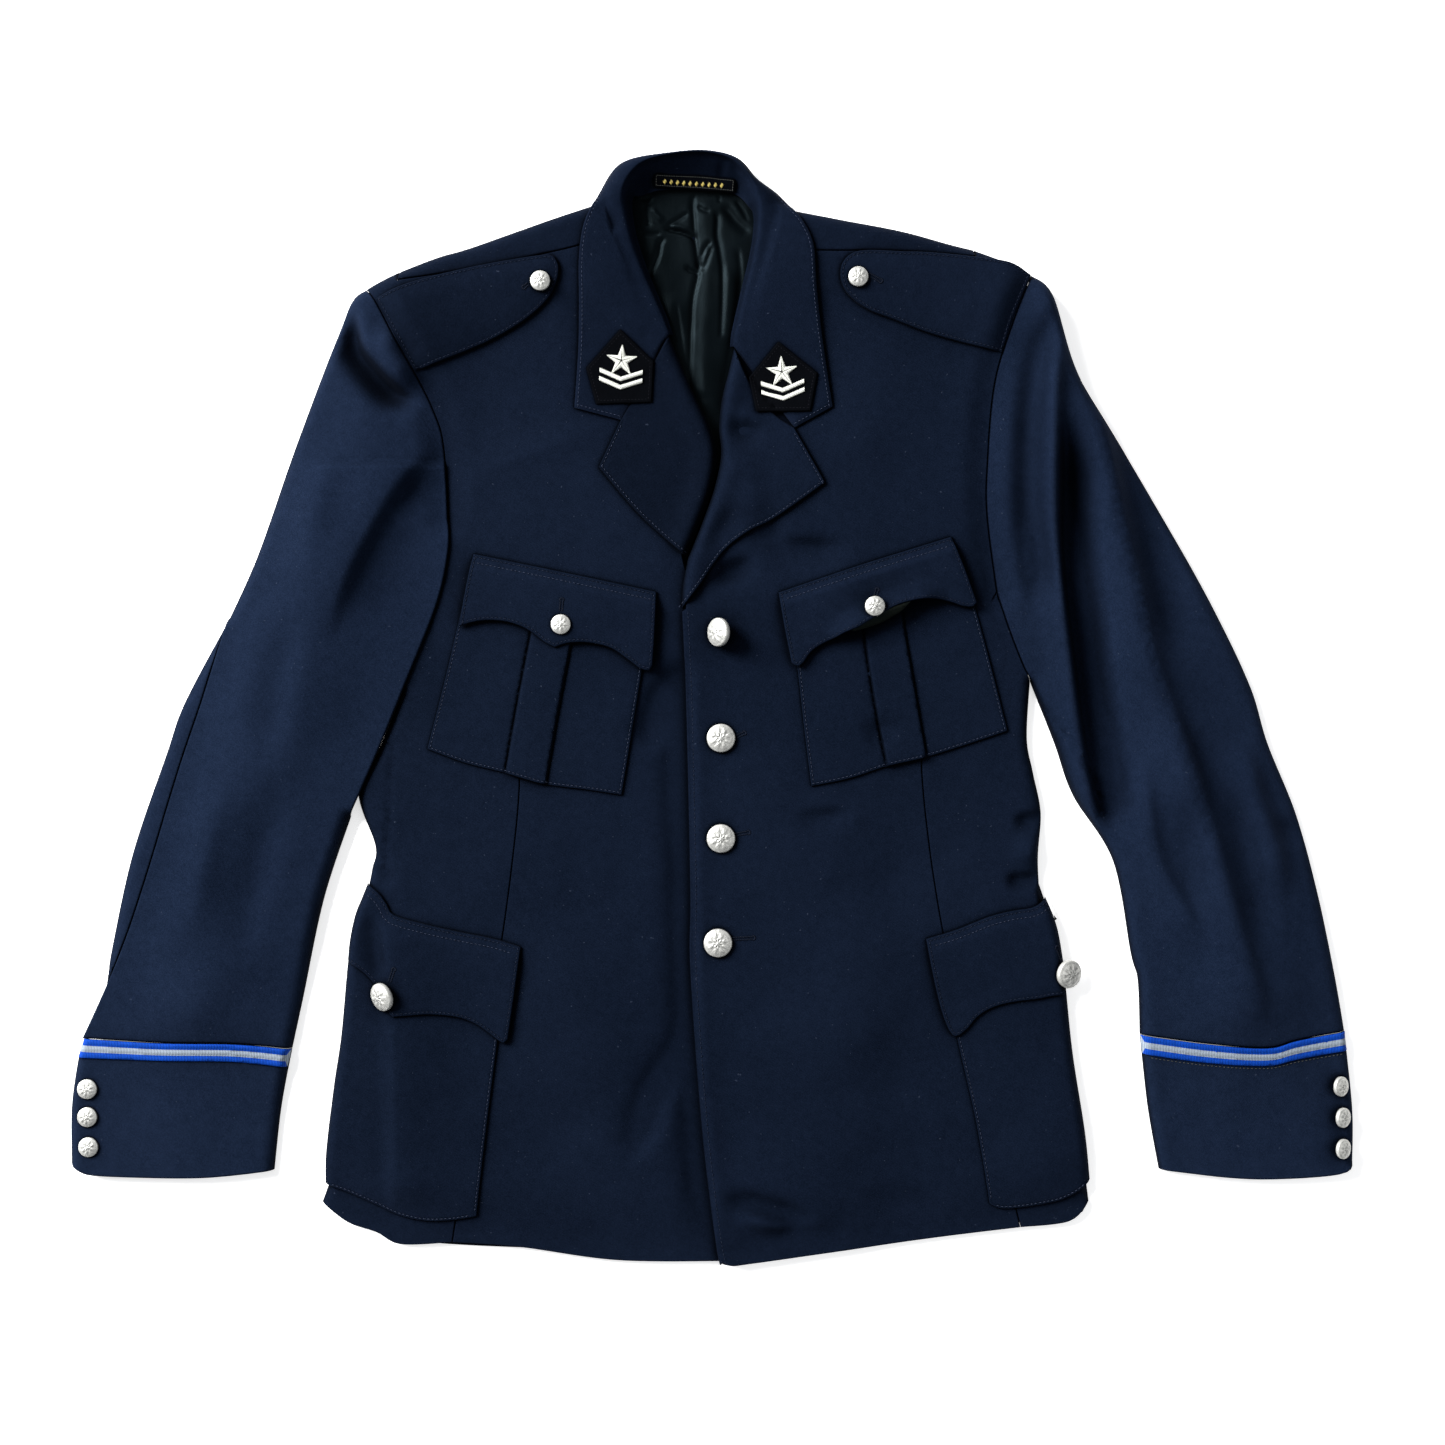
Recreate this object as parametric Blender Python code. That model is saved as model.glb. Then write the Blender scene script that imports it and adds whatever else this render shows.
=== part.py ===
"""Police uniform jacket, laid flat on its back with the front up.

Metres, +Z up. The collar points to +Y, and the wearer's right side is at -X.
Cloth pieces are thin walls stacked as they lie: back, fronts, pockets, flaps, buttons.
The code works in millimetres and turns them into metres when it makes a mesh.
"""
import math

import bpy
from mathutils import Matrix, Vector
from mathutils.bvhtree import BVHTree
from mathutils.geometry import delaunay_2d_cdt

# Driving sizes, in millimetres
HALF_HEM_WIDTH = 562.1
PLAN_HALF_HEM = 770.0
PLAN_CENTRE = (712.0, 709.396)
GAP = 0.3
SEAM_INSET = GAP / 2
SAME_SPOT = 0.05
BACK_WALL = 2.2
LINING_WALL = 1.2
FRONT_WALL = 2.2
LAPEL_WALL = 2.4
COLLAR_WALL = 2.5
STRAP_WALL = 2.4
POCKET_WALL = 1.4
PLEAT_RISE = 1.2
FLAP_WALL = 1.8
CUFF_WALL = 2.4
BRAID_WALL = 1.0
PATCH_WALL = 1.4
LABEL_WALL = 0.8
FOLD_BAND = 2.5
FOLD_ROUND = 5.0
FOLD_FOOT = 0.9
SHOULDER_FOOT = 3.3
FOLD_SET_BACK = FOLD_BAND + GAP
LEVEL_STEP = 0.15
POCKET_FOOT = 0.5
POCKET_ROUND = 1.25
GRID = 38.0
CURVE_STEP = 26.0
CUT_TOLERANCE = 0.02
SHARPEST_CORNER = 0.35
ROUND_LINE = 0.7
HIDDEN_WALL = 0.2
PRESSED_SHARE = 0.75
RAY_START = 200.0
RIM_REACH = 1.5
BIG_BUTTON = (21.6, 7.0)
SMALL_BUTTON = (15.0, 5.0)

PLAN_UNIT = HALF_HEM_WIDTH / PLAN_HALF_HEM

# Outlines, as plan points (x right, y down from the top of the sheet, in plan units)
SHOULDER_RIGHT = [(612, 199), (597, 204), (549, 220), (472, 247), (438, 257), (400, 272)]
SHOULDER_TIP_RIGHT = [(400, 272), (376, 284), (366, 290)]
SHOULDER_SEAM_RIGHT = [(612, 240), (568, 252), (489, 269), (400, 284)]
SHOULDER_LEFT = [(775, 207), (839, 219), (902, 231), (950, 244), (974, 250)]
SHOULDER_TIP_LEFT = [(974, 250), (998, 259), (1017, 267), (1031, 275)]
SHOULDER_SEAM_LEFT = [(775, 252), (818, 254), (902, 255), (974, 260)]
NECKLINE = [(612, 199), (626, 186), (655, 177), (692, 176), (735, 179), (755, 187), (775, 207)]
ARMHOLE_RIGHT = [(366, 290), (378, 304), (395, 336), (417, 376), (434, 411), (444, 445), (448, 518)]
ARMHOLE_RIGHT_HIDDEN = [(448, 518), (442, 540), (433, 570), (425, 600)]
UNDERARM_RIGHT = [(425, 600), (412, 660), (403, 685), (400, 692)]
ARMHOLE_LEFT = [(1031, 275), (1012, 322), (994, 384), (987, 466), (987, 514), (997, 592)]
UNDERARM_LEFT = [(997, 592), (1007, 624), (1022, 663), (1028, 675), (1031, 682)]
BACK_ARMHOLE_RIGHT = [(373, 297), (388, 400), (398, 500), (402, 600), (404, 680)]
BACK_ARMHOLE_LEFT = [(1023, 283), (1012, 400), (1008, 500), (1014, 600), (1028, 668)]
UNDERARM_CLEAR_BACK = (1026.5, 676)
UNDERARM_CLEAR_SLEEVE = (1033, 674)
WAIST_RIGHT = [(400, 692), (378, 748), (357, 791), (374, 846), (371, 868), (368, 884)]
WAIST_LEFT = [(1031, 682), (1028, 738), (1034, 772), (1042, 813), (1039, 854), (1040, 884)]
HIP_SIDE_RIGHT = [(354, 916), (347, 960), (340, 1036), (333, 1084), (325, 1150), (324, 1184)]
HIP_SIDE_LEFT = [(1055, 916), (1064, 960), (1067, 988), (1074, 1055), (1086, 1132), (1091, 1180)]
HEM_CORNER_RIGHT = (321, 1203)
HEM_CORNER_LEFT = (1090, 1202)
SIDE_SEAM_RIGHT = [(425, 600), (475, 650), (508, 715), (520, 779), (503, 935), (470, 1130), (452, 1243)]
SIDE_SEAM_LEFT = [(997, 592), (970, 640), (935, 700), (921, 762), (942, 928), (975, 1050), (1021, 1228)]
HEM_SIDE_RIGHT = [(321, 1203), (347, 1223), (376, 1233), (400, 1245), (452, 1243)]
HEM_FRONT_RIGHT = [(452, 1243), (520, 1248), (616, 1261), (722, 1262), (752, 1261)]
HEM_FRONT_LEFT = [(722, 1263), (731, 1265.5), (750, 1264), (851, 1250), (947, 1237), (1021, 1228)]
HEM_SIDE_LEFT = [(1021, 1228), (1070, 1222), (1090, 1202)]
FRONT_EDGE_LEFT = [(682, 612), (686, 706), (690, 892), (690, 969), (702, 1132), (717, 1252), (722, 1263)]
FRONT_EDGE_RIGHT_HIDDEN = [(752, 1261), (750, 900), (748, 660), (720, 590)]
NECK_FRONT_RIGHT = [(612, 240), (634, 296), (647, 322), (662, 343)]
NECK_FRONT_LEFT = [(742, 352), (752, 322), (762, 290), (775, 252)]

ROLL_RIGHT = [(669, 336), (693, 392), (710, 428), (717, 456), (712, 490), (700, 524), (686, 557)]
ROLL_LEFT = [(734, 348), (729, 370), (722, 399), (719, 428), (721, 456), (714, 490), (702, 524), (688, 559)]
ROLL_LEFT_EDGE = [(688, 559), (683, 586), (682, 609)]
GORGE_RIGHT = [(669, 336), (656, 360), (621, 421)]
GORGE_LEFT = [(734, 348), (748, 380), (772, 413), (794, 429)]
LAPEL_EDGE_RIGHT = [(621, 421), (599, 468), (640, 516), (686, 557)]
LAPEL_EDGE_LEFT = [(794, 429), (825, 484), (803, 500), (772, 521), (748, 533), (724, 552), (700, 586),
                   (682, 609)]

SLEEVE_OUTER_RIGHT = [(366, 290), (351, 304), (328, 360), (294, 449), (258, 552), (229, 617)]
SLEEVE_SEAM_RIGHT = [(229, 617), (203, 700), (179, 772), (150, 868), (122, 950), (83, 1038)]
SLEEVE_WRAP_RIGHT = [(229, 617), (184, 701), (165, 754), (131, 854), (110, 950), (102, 998), (83, 1038)]
SLEEVE_OVER_RIGHT = [(448, 518), (449.5, 548), (438, 603), (405, 687), (376, 758), (350, 817)]
SLEEVE_INNER_RIGHT = [(350, 817), (323, 899), (302, 998), (291, 1049)]
SLEEVE_OUTER_LEFT = [(1031, 275), (1053, 296), (1079, 375), (1127, 454), (1204, 588), (1250, 682),
                     (1269, 743), (1298, 815), (1319, 892), (1336, 974), (1346, 1031)]
SLEEVE_INNER_LEFT = [(1031, 682), (1055, 743), (1074, 796), (1114, 861), (1132, 954), (1139, 981),
                     (1141, 1035)]
CUFF_LINE_RIGHT = [(83, 1038), (155, 1042), (232, 1043), (291, 1049)]
CUFF_LINE_LEFT = [(1141, 1035), (1204, 1043), (1265, 1047), (1295, 1040), (1346, 1031)]
CUFF_OUTER_RIGHT = [(83, 1038), (77, 1058), (70, 1108), (70, 1161)]
CUFF_END_RIGHT = [(70, 1161), (78, 1170), (102, 1176), (198, 1178), (273, 1171)]
CUFF_INNER_RIGHT = [(273, 1171), (280, 1108), (291, 1049)]
CUFF_OUTER_LEFT = [(1346, 1031), (1354, 1108), (1354, 1161)]
CUFF_END_LEFT = [(1354, 1161), (1338, 1174), (1252, 1179), (1160, 1170)]
CUFF_INNER_LEFT = [(1160, 1170), (1149, 1108), (1141, 1035)]
BACK_HEM = [(330, 1209), (400, 1242), (568, 1253), (731, 1262), (902, 1238), (1070, 1219), (1083, 1206)]
BACK_TIP_RIGHT = [(400, 272), (400, 277), (380, 288), (373, 297)]
BACK_TIP_LEFT = [(974, 250), (974, 256), (1015, 272), (1023, 283)]

LINING = [(624, 190), (655, 179), (735, 181), (760, 192), (764, 240), (757, 300), (742, 350), (728, 410),
          (722, 470), (700, 470), (680, 400), (652, 330), (626, 260)]
LABEL = [(655, 183), (735, 187), (734, 197), (655, 193)]
STRAP_RIGHT = [(384, 300), (438, 279), (486, 269), (549, 258), (560, 274), (544, 308), (496, 341),
               (443, 364), (420, 373), (402, 338)]
STRAP_LEFT = [(839, 279), (846, 261), (868, 254), (930, 256), (1007, 267), (1026, 277), (1008, 322),
              (998, 355), (964, 346), (926, 336), (858, 308)]
CHEST_FLAP_RIGHT = [(474, 554), (657, 592), (654, 668), (640, 668), (616, 651), (592, 645), (554, 648),
                    (530, 632), (496, 621), (460, 627)]
CHEST_FLAP_LEFT = [(778, 593), (950, 537), (976, 603), (950, 603), (921, 600), (892, 608), (856, 629),
                   (834, 639), (815, 648), (803, 663), (793, 665)]
CHEST_POCKET_RIGHT = [(468, 584), (650, 618), (642, 672), (622, 795), (545, 784), (506, 773), (428, 749),
                      (458, 627)]
CHEST_POCKET_LEFT = [(790, 622), (964, 572), (974, 610), (1007, 731), (926, 757), (887, 766), (811, 786),
                     (797, 668)]
CHEST_PLEAT_RIGHT = [(535, 610), (575, 617), (545, 784), (506, 773)]
CHEST_PLEAT_LEFT = [(860, 615), (899, 604), (926, 757), (887, 766)]
HIP_FLAP_RIGHT = [(366, 884), (395, 914), (455, 931), (522, 946), (508, 1041), (482, 1026), (438, 1014),
                  (395, 1015), (383, 992), (347, 960), (354, 916)]
HIP_FLAP_LEFT = [(925, 937), (988, 916), (1031, 907), (1046, 897), (1059, 930), (1067, 994), (1036, 998),
                 (1002, 1002), (978, 1014), (956, 1035), (947, 1026)]
HIP_POCKET_RIGHT = [(324, 1184), (329, 1186.5), (376, 1204), (424, 1221), (477, 1216), (498, 1043),
                    (508, 962), (395, 938), (358, 926), (354, 916)]
HIP_POCKET_LEFT = [(1091, 1180), (1046, 1204), (1007, 1208), (989, 1204), (956, 1036), (938, 955),
                   (1052, 924), (1055, 916)]
BRAID_RIGHT_LOWER = [(77, 1057), (155, 1060), (232, 1061), (287, 1067)]
BRAID_LEFT_LOWER = [(1348, 1050), (1295, 1059), (1265, 1065), (1204, 1062), (1143, 1054)]
PATCH_RIGHT = [(621, 332), (654, 363), (652, 404), (597, 406), (587, 370)]
PATCH_LEFT = [(778, 344), (817, 375), (810, 413), (756, 413), (749, 379)]

# Where the neck opens, where the underlap and the sleeve over the body begin, and the turn below the lapel
NECK_PATH = ((692, 210), (706, 450))
UNDERLAP_CORNER = (752, 470)
OVER_START = (448, 464)
LAPEL_TURN = (684, 563)
BESIDE_BODY = ((400, 692), (357, 800))
# Reach of the lifts of the upper cloth, and the width over which each fades, in mm
NECK_LIFT = (192.0, 75.0)
LAP_ACROSS = (116.0, 60.0)
LAP_DOWN = (60.0, 50.0)
OVER_LIFT = (136.0, 60.0)

# Soft ridges of the upper cloth: name, from x, from y, to x, to y, height in mm, half width in mm
RIDGES = (
    ("shoulder right", 590, 235, 380, 300, 8.0, 60.0),
    ("shoulder left", 800, 240, 1018, 292, 8.0, 60.0),
    ("sleeve head right", 372, 320, 400, 400, 3.0, 45.0),
    ("sleeve head left", 1030, 310, 1015, 470, 3.0, 45.0),
    ("upper sleeve right", 345, 430, 290, 640, 4.0, 50.0),
    ("forearm right", 270, 700, 190, 980, 3.5, 45.0),
    ("crease right", 430, 445, 352, 572, 2.0, 22.0),
    ("upper sleeve left", 1085, 420, 1140, 640, 4.5, 40.0),
    ("forearm left", 1165, 700, 1250, 980, 3.5, 45.0),
    ("chest right", 560, 480, 560, 720, 1.6, 60.0),
    ("chest left", 870, 480, 880, 720, 1.6, 60.0),
    ("hip right", 430, 1000, 420, 1180, 2.0, 45.0),
    ("hip left", 1010, 1000, 1030, 1160, 2.0, 45.0),
    ("front fall", 800, 900, 790, 1180, 1.4, 50.0),
)

# Collar stations from the right gorge round the neck: seam, fold and outer edge, each x, y and height in mm
COLLAR = (
    ((673, 335, 6.0), (669, 336, 12.5), (621, 421, 9.0)),
    ((668, 320, 6.0), (662, 319, 13.5), (575, 409, 9.0)),
    ((661, 303, 6.0), (655, 303, 14.5), (579, 350, 9.5)),
    ((651, 279, 6.0), (645, 281, 16.0), (580, 305, 10.0)),
    ((640, 248, 6.0), (633, 251, 18.0), (580, 264, 11.0)),
    ((634, 222, 6.0), (626, 223, 20.0), (584, 232, 12.0)),
    ((633, 200, 6.0), (623, 200, 22.0), (594, 207, 8.0)),
    ((640, 187, 6.0), (630, 183, 24.0), (611, 173, 3.0)),
    ((656, 179, 6.0), (646, 169, 26.0), (628, 161, 2.0)),
    ((676, 175, 6.0), (672, 162, 27.0), (668, 156, 1.5)),
    ((700, 174, 6.0), (703, 160, 27.0), (708, 153.5, 1.5)),
    ((722, 176, 6.0), (729, 166, 26.0), (740, 161, 2.0)),
    ((739, 182, 6.0), (747, 181, 24.0), (758, 181, 3.0)),
    ((749, 198, 6.0), (757, 199, 22.0), (776, 194, 8.0)),
    ((753, 215, 6.0), (760, 215, 20.0), (792, 212, 12.0)),
    ((753, 233, 6.0), (759, 235, 18.0), (804, 228, 11.5)),
    ((749, 258, 6.0), (755, 261, 17.0), (813, 250, 11.0)),
    ((742, 287, 6.0), (748, 289, 15.5), (816, 290, 10.0)),
    ((735, 317, 6.0), (741, 319, 14.0), (822, 341, 9.5)),
    ((731, 335, 6.0), (736, 337, 13.0), (832, 408, 9.0)),
    ((730, 347, 6.0), (734, 348, 12.5), (794, 429, 9.0)),
)
COLLAR_INNER_STEPS = 3
COLLAR_OUTER_STEPS = 7
COLLAR_CLEARANCE = 0.5
COLLAR_REACH = 9.0
SETTLE_STEP = 0.9
COLLAR_FREE_WALL = 1.3
COLLAR_LOWEST = 0.4
COLLAR_LEAST = 0.6

# Buttons: name, x, y, size, lean in degrees, direction of the lean in degrees
BUTTONS = (
    ("button_front_1", 720, 633, BIG_BUTTON, 38, 180),
    ("button_front_2", 721, 738, BIG_BUTTON, 0, 0),
    ("button_front_3", 721, 838, BIG_BUTTON, 0, 0),
    ("button_front_4", 718, 942, BIG_BUTTON, 0, 0),
    ("button_chest_right", 560, 623, SMALL_BUTTON, 0, 0),
    ("button_chest_left", 875, 605, SMALL_BUTTON, 0, 0),
    ("button_hip_right", 387, 994, BIG_BUTTON, 42, 200),
    ("button_hip_left", 1066, 973, BIG_BUTTON, 30, 350),
    ("button_strap_right", 539, 280, SMALL_BUTTON, 0, 0),
    ("button_strap_left", 859, 275.5, SMALL_BUTTON, 0, 0),
    ("button_cuff_right_1", 89, 1088, SMALL_BUTTON, 0, 0),
    ("button_cuff_right_2", 89, 1116, SMALL_BUTTON, 0, 0),
    ("button_cuff_right_3", 90, 1146, SMALL_BUTTON, 0, 0),
    ("button_cuff_left_1", 1339, 1085, SMALL_BUTTON, 35, 0),
    ("button_cuff_left_2", 1341, 1118, SMALL_BUTTON, 35, 0),
    ("button_cuff_left_3", 1341, 1148, SMALL_BUTTON, 35, 0),
)
BUTTON_SIDES = 14
# Turned outline of a button: share of the radius, share of the height
BUTTON_PROFILE = ((0.72, 0.0), (1.0, 0.2), (0.92, 0.56), (0.55, 0.9))

NAVY = (0.007, 0.010, 0.024, 1.0)
BLACK = (0.004, 0.004, 0.006, 1.0)
BRAID_BLUE = (0.02, 0.10, 0.55, 1.0)
SILVER = (0.62, 0.61, 0.58, 1.0)


def clear_scene():
    for thing in list(bpy.data.objects):
        bpy.data.objects.remove(thing, do_unlink=True)


def material(name, colour, roughness, metallic=0.0):
    made = bpy.data.materials.new(name)
    made.use_nodes = True
    shader = made.node_tree.nodes["Principled BSDF"]
    shader.inputs["Base Color"].default_value = colour
    shader.inputs["Roughness"].default_value = roughness
    shader.inputs["Metallic"].default_value = metallic
    return made


def place(point):
    """A plan point in millimetres from the middle of the jacket, y up."""
    return ((point[0] - PLAN_CENTRE[0]) * PLAN_UNIT, (PLAN_CENTRE[1] - point[1]) * PLAN_UNIT)


def smooth(points, step=CURVE_STEP):
    """A soft curve through the plan points, in millimetres."""
    knots = [place(point) for point in points]
    if len(knots) < 3:
        return knots
    knots = [knots[0]] + knots + [knots[-1]]
    line = [knots[1]]
    for a, b, c, d in zip(knots, knots[1:], knots[2:], knots[3:]):
        pieces = max(1, round(math.dist(b, c) / step))
        for k in range(1, pieces + 1):
            t = k / pieces
            line.append(tuple(
                0.5 * (2 * b[n] + (c[n] - a[n]) * t + (2 * a[n] - 5 * b[n] + 4 * c[n] - d[n]) * t ** 2
                       + (3 * b[n] - a[n] - 3 * c[n] + d[n]) * t ** 3) for n in (0, 1)))
    return line


def straight(points):
    return [place(point) for point in points]


def moved_line(line, distance):
    """The line moved sideways, to the left of its direction for a distance above 0."""
    moved = []
    for index, point in enumerate(line):
        before = line[max(index - 1, 0)]
        after = line[min(index + 1, len(line) - 1)]
        run = math.dist(before, after)
        moved.append((point[0] - (after[1] - before[1]) / run * distance,
                      point[1] + (after[0] - before[0]) / run * distance))
    return moved


def area_of(ring):
    return 0.5 * sum(a[0] * b[1] - b[0] * a[1] for a, b in zip(ring, ring[1:] + ring[:1]))


def inset(ring, distance):
    """The closed ring moved inwards, each corner along its bisector."""
    side = 1.0 if area_of(ring) > 0 else -1.0
    result = []
    for before, point, after in zip(ring[-1:] + ring[:-1], ring, ring[1:] + ring[:1]):
        first = Vector((point[0] - before[0], point[1] - before[1])).normalized()
        second = Vector((after[0] - point[0], after[1] - point[1])).normalized()
        normal_a = Vector((-first.y, first.x)) * side
        normal_b = Vector((-second.y, second.x)) * side
        bisector = (normal_a + normal_b) / max(1.0 + normal_a.dot(normal_b), SHARPEST_CORNER)
        result.append((point[0] + bisector.x * distance, point[1] + bisector.y * distance))
    return result


def joined(*lines):
    """One closed ring from lines that end where the next begins, set back for the seam gap."""
    ring = []
    for point in (point for line in lines for point in line):
        if not ring or math.dist(point, ring[-1]) > SAME_SPOT:
            ring.append(point)
    if math.dist(ring[0], ring[-1]) <= SAME_SPOT:
        ring.pop()
    return inset(ring, SEAM_INSET)


def inside(point, ring):
    x, y = point
    hit = False
    for a, b in zip(ring, ring[1:] + ring[:1]):
        if (a[1] > y) != (b[1] > y) and x < (b[0] - a[0]) * (y - a[1]) / (b[1] - a[1]) + a[0]:
            hit = not hit
    return hit


def distance_to(point, line):
    """Distance from a point to an open line of points."""
    best = 1e9
    for a, b in zip(line, line[1:]):
        run = (b[0] - a[0], b[1] - a[1])
        length = run[0] ** 2 + run[1] ** 2
        t = 0.0 if length == 0 else ((point[0] - a[0]) * run[0] + (point[1] - a[1]) * run[1]) / length
        t = min(1.0, max(0.0, t))
        best = min(best, math.hypot(point[0] - a[0] - run[0] * t, point[1] - a[1] - run[1] * t))
    return best


def ease(value):
    value = min(1.0, max(0.0, value))
    return value * value * (3.0 - 2.0 * value)


def sampled(height):
    """The height as flat triangles on the shared grid, so that stacked pieces stay parallel."""
    corners = {}

    def corner(i, j):
        if (i, j) not in corners:
            corners[(i, j)] = height(i * GRID, j * GRID)
        return corners[(i, j)]

    def value(x, y):
        i, j = math.floor(x / GRID), math.floor(y / GRID)
        u, v = x / GRID - i, y / GRID - j
        if u + v <= 1.0:
            return corner(i, j) * (1 - u - v) + corner(i + 1, j) * u + corner(i, j + 1) * v
        return corner(i + 1, j + 1) * (u + v - 1) + corner(i + 1, j) * (1 - v) + corner(i, j + 1) * (1 - u)
    return value


# Heights of the stacked cloth, in millimetres
RIDGE_LINES = [((place(row[1:3]), place(row[3:5])), row[5], row[6]) for row in RIDGES]
NECK_LINE = [place(point) for point in NECK_PATH]
OVER_LINE = [place(point) for point in SLEEVE_OVER_RIGHT]
UNDERLAP_X, UNDERLAP_TOP = place(UNDERLAP_CORNER)
OVER_TOP = place(OVER_START)[1]


def upper_height(x, y):
    """Underside of the fronts and of the upper sleeves."""
    height = BACK_WALL + GAP
    height += (LINING_WALL + GAP) * ease((NECK_LIFT[0] - distance_to((x, y), NECK_LINE)) / NECK_LIFT[1])
    for line, rise, width in RIDGE_LINES:
        height += rise * math.exp(-(distance_to((x, y), line) / width) ** 2)
    return height


def lap_height(x, y):
    """Lift of the left front where it lies over the right front."""
    across = ease((UNDERLAP_X + LAP_ACROSS[0] - x) / LAP_ACROSS[1])
    down = ease((UNDERLAP_TOP + LAP_DOWN[0] - y) / LAP_DOWN[1])
    return (FRONT_WALL + GAP) * across * down


def over_height(x, y):
    """Lift of the right sleeve where it lies over the body."""
    if y > OVER_TOP:
        return 0.0
    return (FRONT_WALL + GAP) * ease((OVER_LIFT[0] - distance_to((x, y), OVER_LINE)) / OVER_LIFT[1])


UPPER = sampled(upper_height)
LAP = sampled(lap_height)
OVER = sampled(over_height)


def make_object(name, points, faces, look):
    mesh = bpy.data.meshes.new(name)
    mesh.from_pydata([(x * 0.001, y * 0.001, z * 0.001) for x, y, z in points], [], faces)
    mesh.validate()
    made = bpy.data.objects.new(name, mesh)
    bpy.context.scene.collection.objects.link(made)
    made.data.materials.append(look)
    TREES.append(BVHTree.FromPolygons(points, faces))
    return made


def cut_plan(rings, lines, gridded):
    """Triangles of the plan that keep every ring, line and grid line as an edge."""
    points, edges = [], []

    def chain(line, closed):
        first = len(points)
        points.extend(Vector(point) for point in line)
        count = len(line)
        edges.extend((first + k, first + (k + 1) % count) for k in range(count if closed else count - 1))

    for ring in rings:
        chain(ring, True)
    for line in lines:
        chain(line, False)
    if gridded:
        xs = [point[0] for point in rings[0]]
        ys = [point[1] for point in rings[0]]
        columns = range(math.floor(min(xs) / GRID), math.ceil(max(xs) / GRID) + 1)
        rows = range(math.floor(min(ys) / GRID), math.ceil(max(ys) / GRID) + 1)
        near = {}
        for i in columns:
            for j in rows:
                spot = (i * GRID, j * GRID)
                if inside(spot, rings[0]) or distance_to(spot, rings[0] + rings[0][:1]) < GRID * RIM_REACH:
                    near[(i, j)] = len(points)
                    points.append(Vector(spot))
        for i, j in near:
            for a, b in (((i, j), (i + 1, j)), ((i, j), (i, j + 1)), ((i + 1, j), (i, j + 1))):
                if a in near and b in near:
                    edges.append((near[a], near[b]))
    found, _, faces, _, _, _ = delaunay_2d_cdt(points, edges, [], 0, CUT_TOLERANCE)
    return [(point.x, point.y) for point in found], [tuple(face) for face in faces]


def stacked(name, ring, regions, levels, walls, look, lines=(), gridded=True):
    """A closed solid over the plan. Each region is some rings and the slabs filled inside all of them."""
    bounds = [bound for region, _ in regions for bound in region if bound is not ring]
    plan, faces = cut_plan([ring] + bounds, lines, gridded)
    filled = {}
    for face in faces:
        middle = tuple(sum(plan[k][n] for k in face) / 3 for n in (0, 1))
        slabs = set()
        for bounds, which in regions:
            if inside(middle, ring) and all(inside(middle, bound) for bound in bounds):
                slabs |= which
        if slabs:
            turn = area_of([plan[k] for k in face])
            filled[face if turn > 0 else face[::-1]] = slabs
    heights = {}

    def height_at(k):
        if k not in heights:
            column = [level(*plan[k]) for level in levels]
            for n in range(len(column) - 2, 0, -1):
                column[n] = max(min(column[n], column[n + 1] - walls[n]), column[0] + LEVEL_STEP * n)
            heights[k] = column
        return heights[k]

    points, numbers, shell = [], {}, []

    def corner(k, level):
        if (k, level) not in numbers:
            numbers[(k, level)] = len(points)
            points.append((plan[k][0], plan[k][1], height_at(k)[level]))
        return numbers[(k, level)]

    owners = {}
    for face, slabs in filled.items():
        for a, b in zip(face, face[1:] + face[:1]):
            owners[(a, b)] = slabs
    for face, slabs in filled.items():
        for slab in slabs:
            if slab + 1 not in slabs:
                shell.append(tuple(corner(k, slab + 1) for k in face))
            if slab - 1 not in slabs:
                shell.append(tuple(corner(k, slab) for k in face[::-1]))
        for a, b in zip(face, face[1:] + face[:1]):
            for slab in slabs - owners.get((b, a), set()):
                shell.append((corner(a, slab), corner(b, slab), corner(b, slab + 1), corner(a, slab + 1)))
    return make_object(name, points, shell, look)


def rounded(top, folds, foot=FOLD_FOOT, radius=FOLD_ROUND):
    """The top level brought down to a foot round the fold lines."""
    def value(x, y):
        full = top(x, y)
        near = min(distance_to((x, y), fold) for fold in folds)
        if near >= radius:
            return full
        return foot + (full - foot) * math.sqrt(max(0.0, 1.0 - (1.0 - near / radius) ** 2))
    return value


def flat(height):
    return lambda x, y: height


def above(base, *extras):
    return lambda x, y: base(x, y) + sum(extra(x, y) if callable(extra) else extra for extra in extras)


def set_in(line, inwards):
    """A fold line of the outline, set back as the outline is."""
    return moved_line(line, SEAM_INSET * inwards)


def panel(name, ring, base, wall, look, folds=()):
    """One layer of cloth over the plan, whose fold lines turn down to the floor."""
    top = above(base, wall)
    if not folds:
        return stacked(name, ring, [((ring,), {0})], [base, top], [wall], look)
    # Each fold is (line, side): side 1 has the cloth on the left of the line, -1 on the right
    lines = [set_in(line, side) for line, side in folds]
    bands = [line + moved_line(line, FOLD_BAND * side)[::-1] for line, (_, side) in zip(lines, folds)]
    rings = [moved_line(line, FOLD_ROUND * ROUND_LINE * side) for line, (_, side) in zip(lines, folds)]
    levels = [flat(0.0), base, rounded(top, lines)]
    regions = [((ring,), {1})] + [((band,), {0, 1}) for band in bands]
    return stacked(name, ring, regions, levels, [HIDDEN_WALL, wall * PRESSED_SHARE], look, rings)


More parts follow.
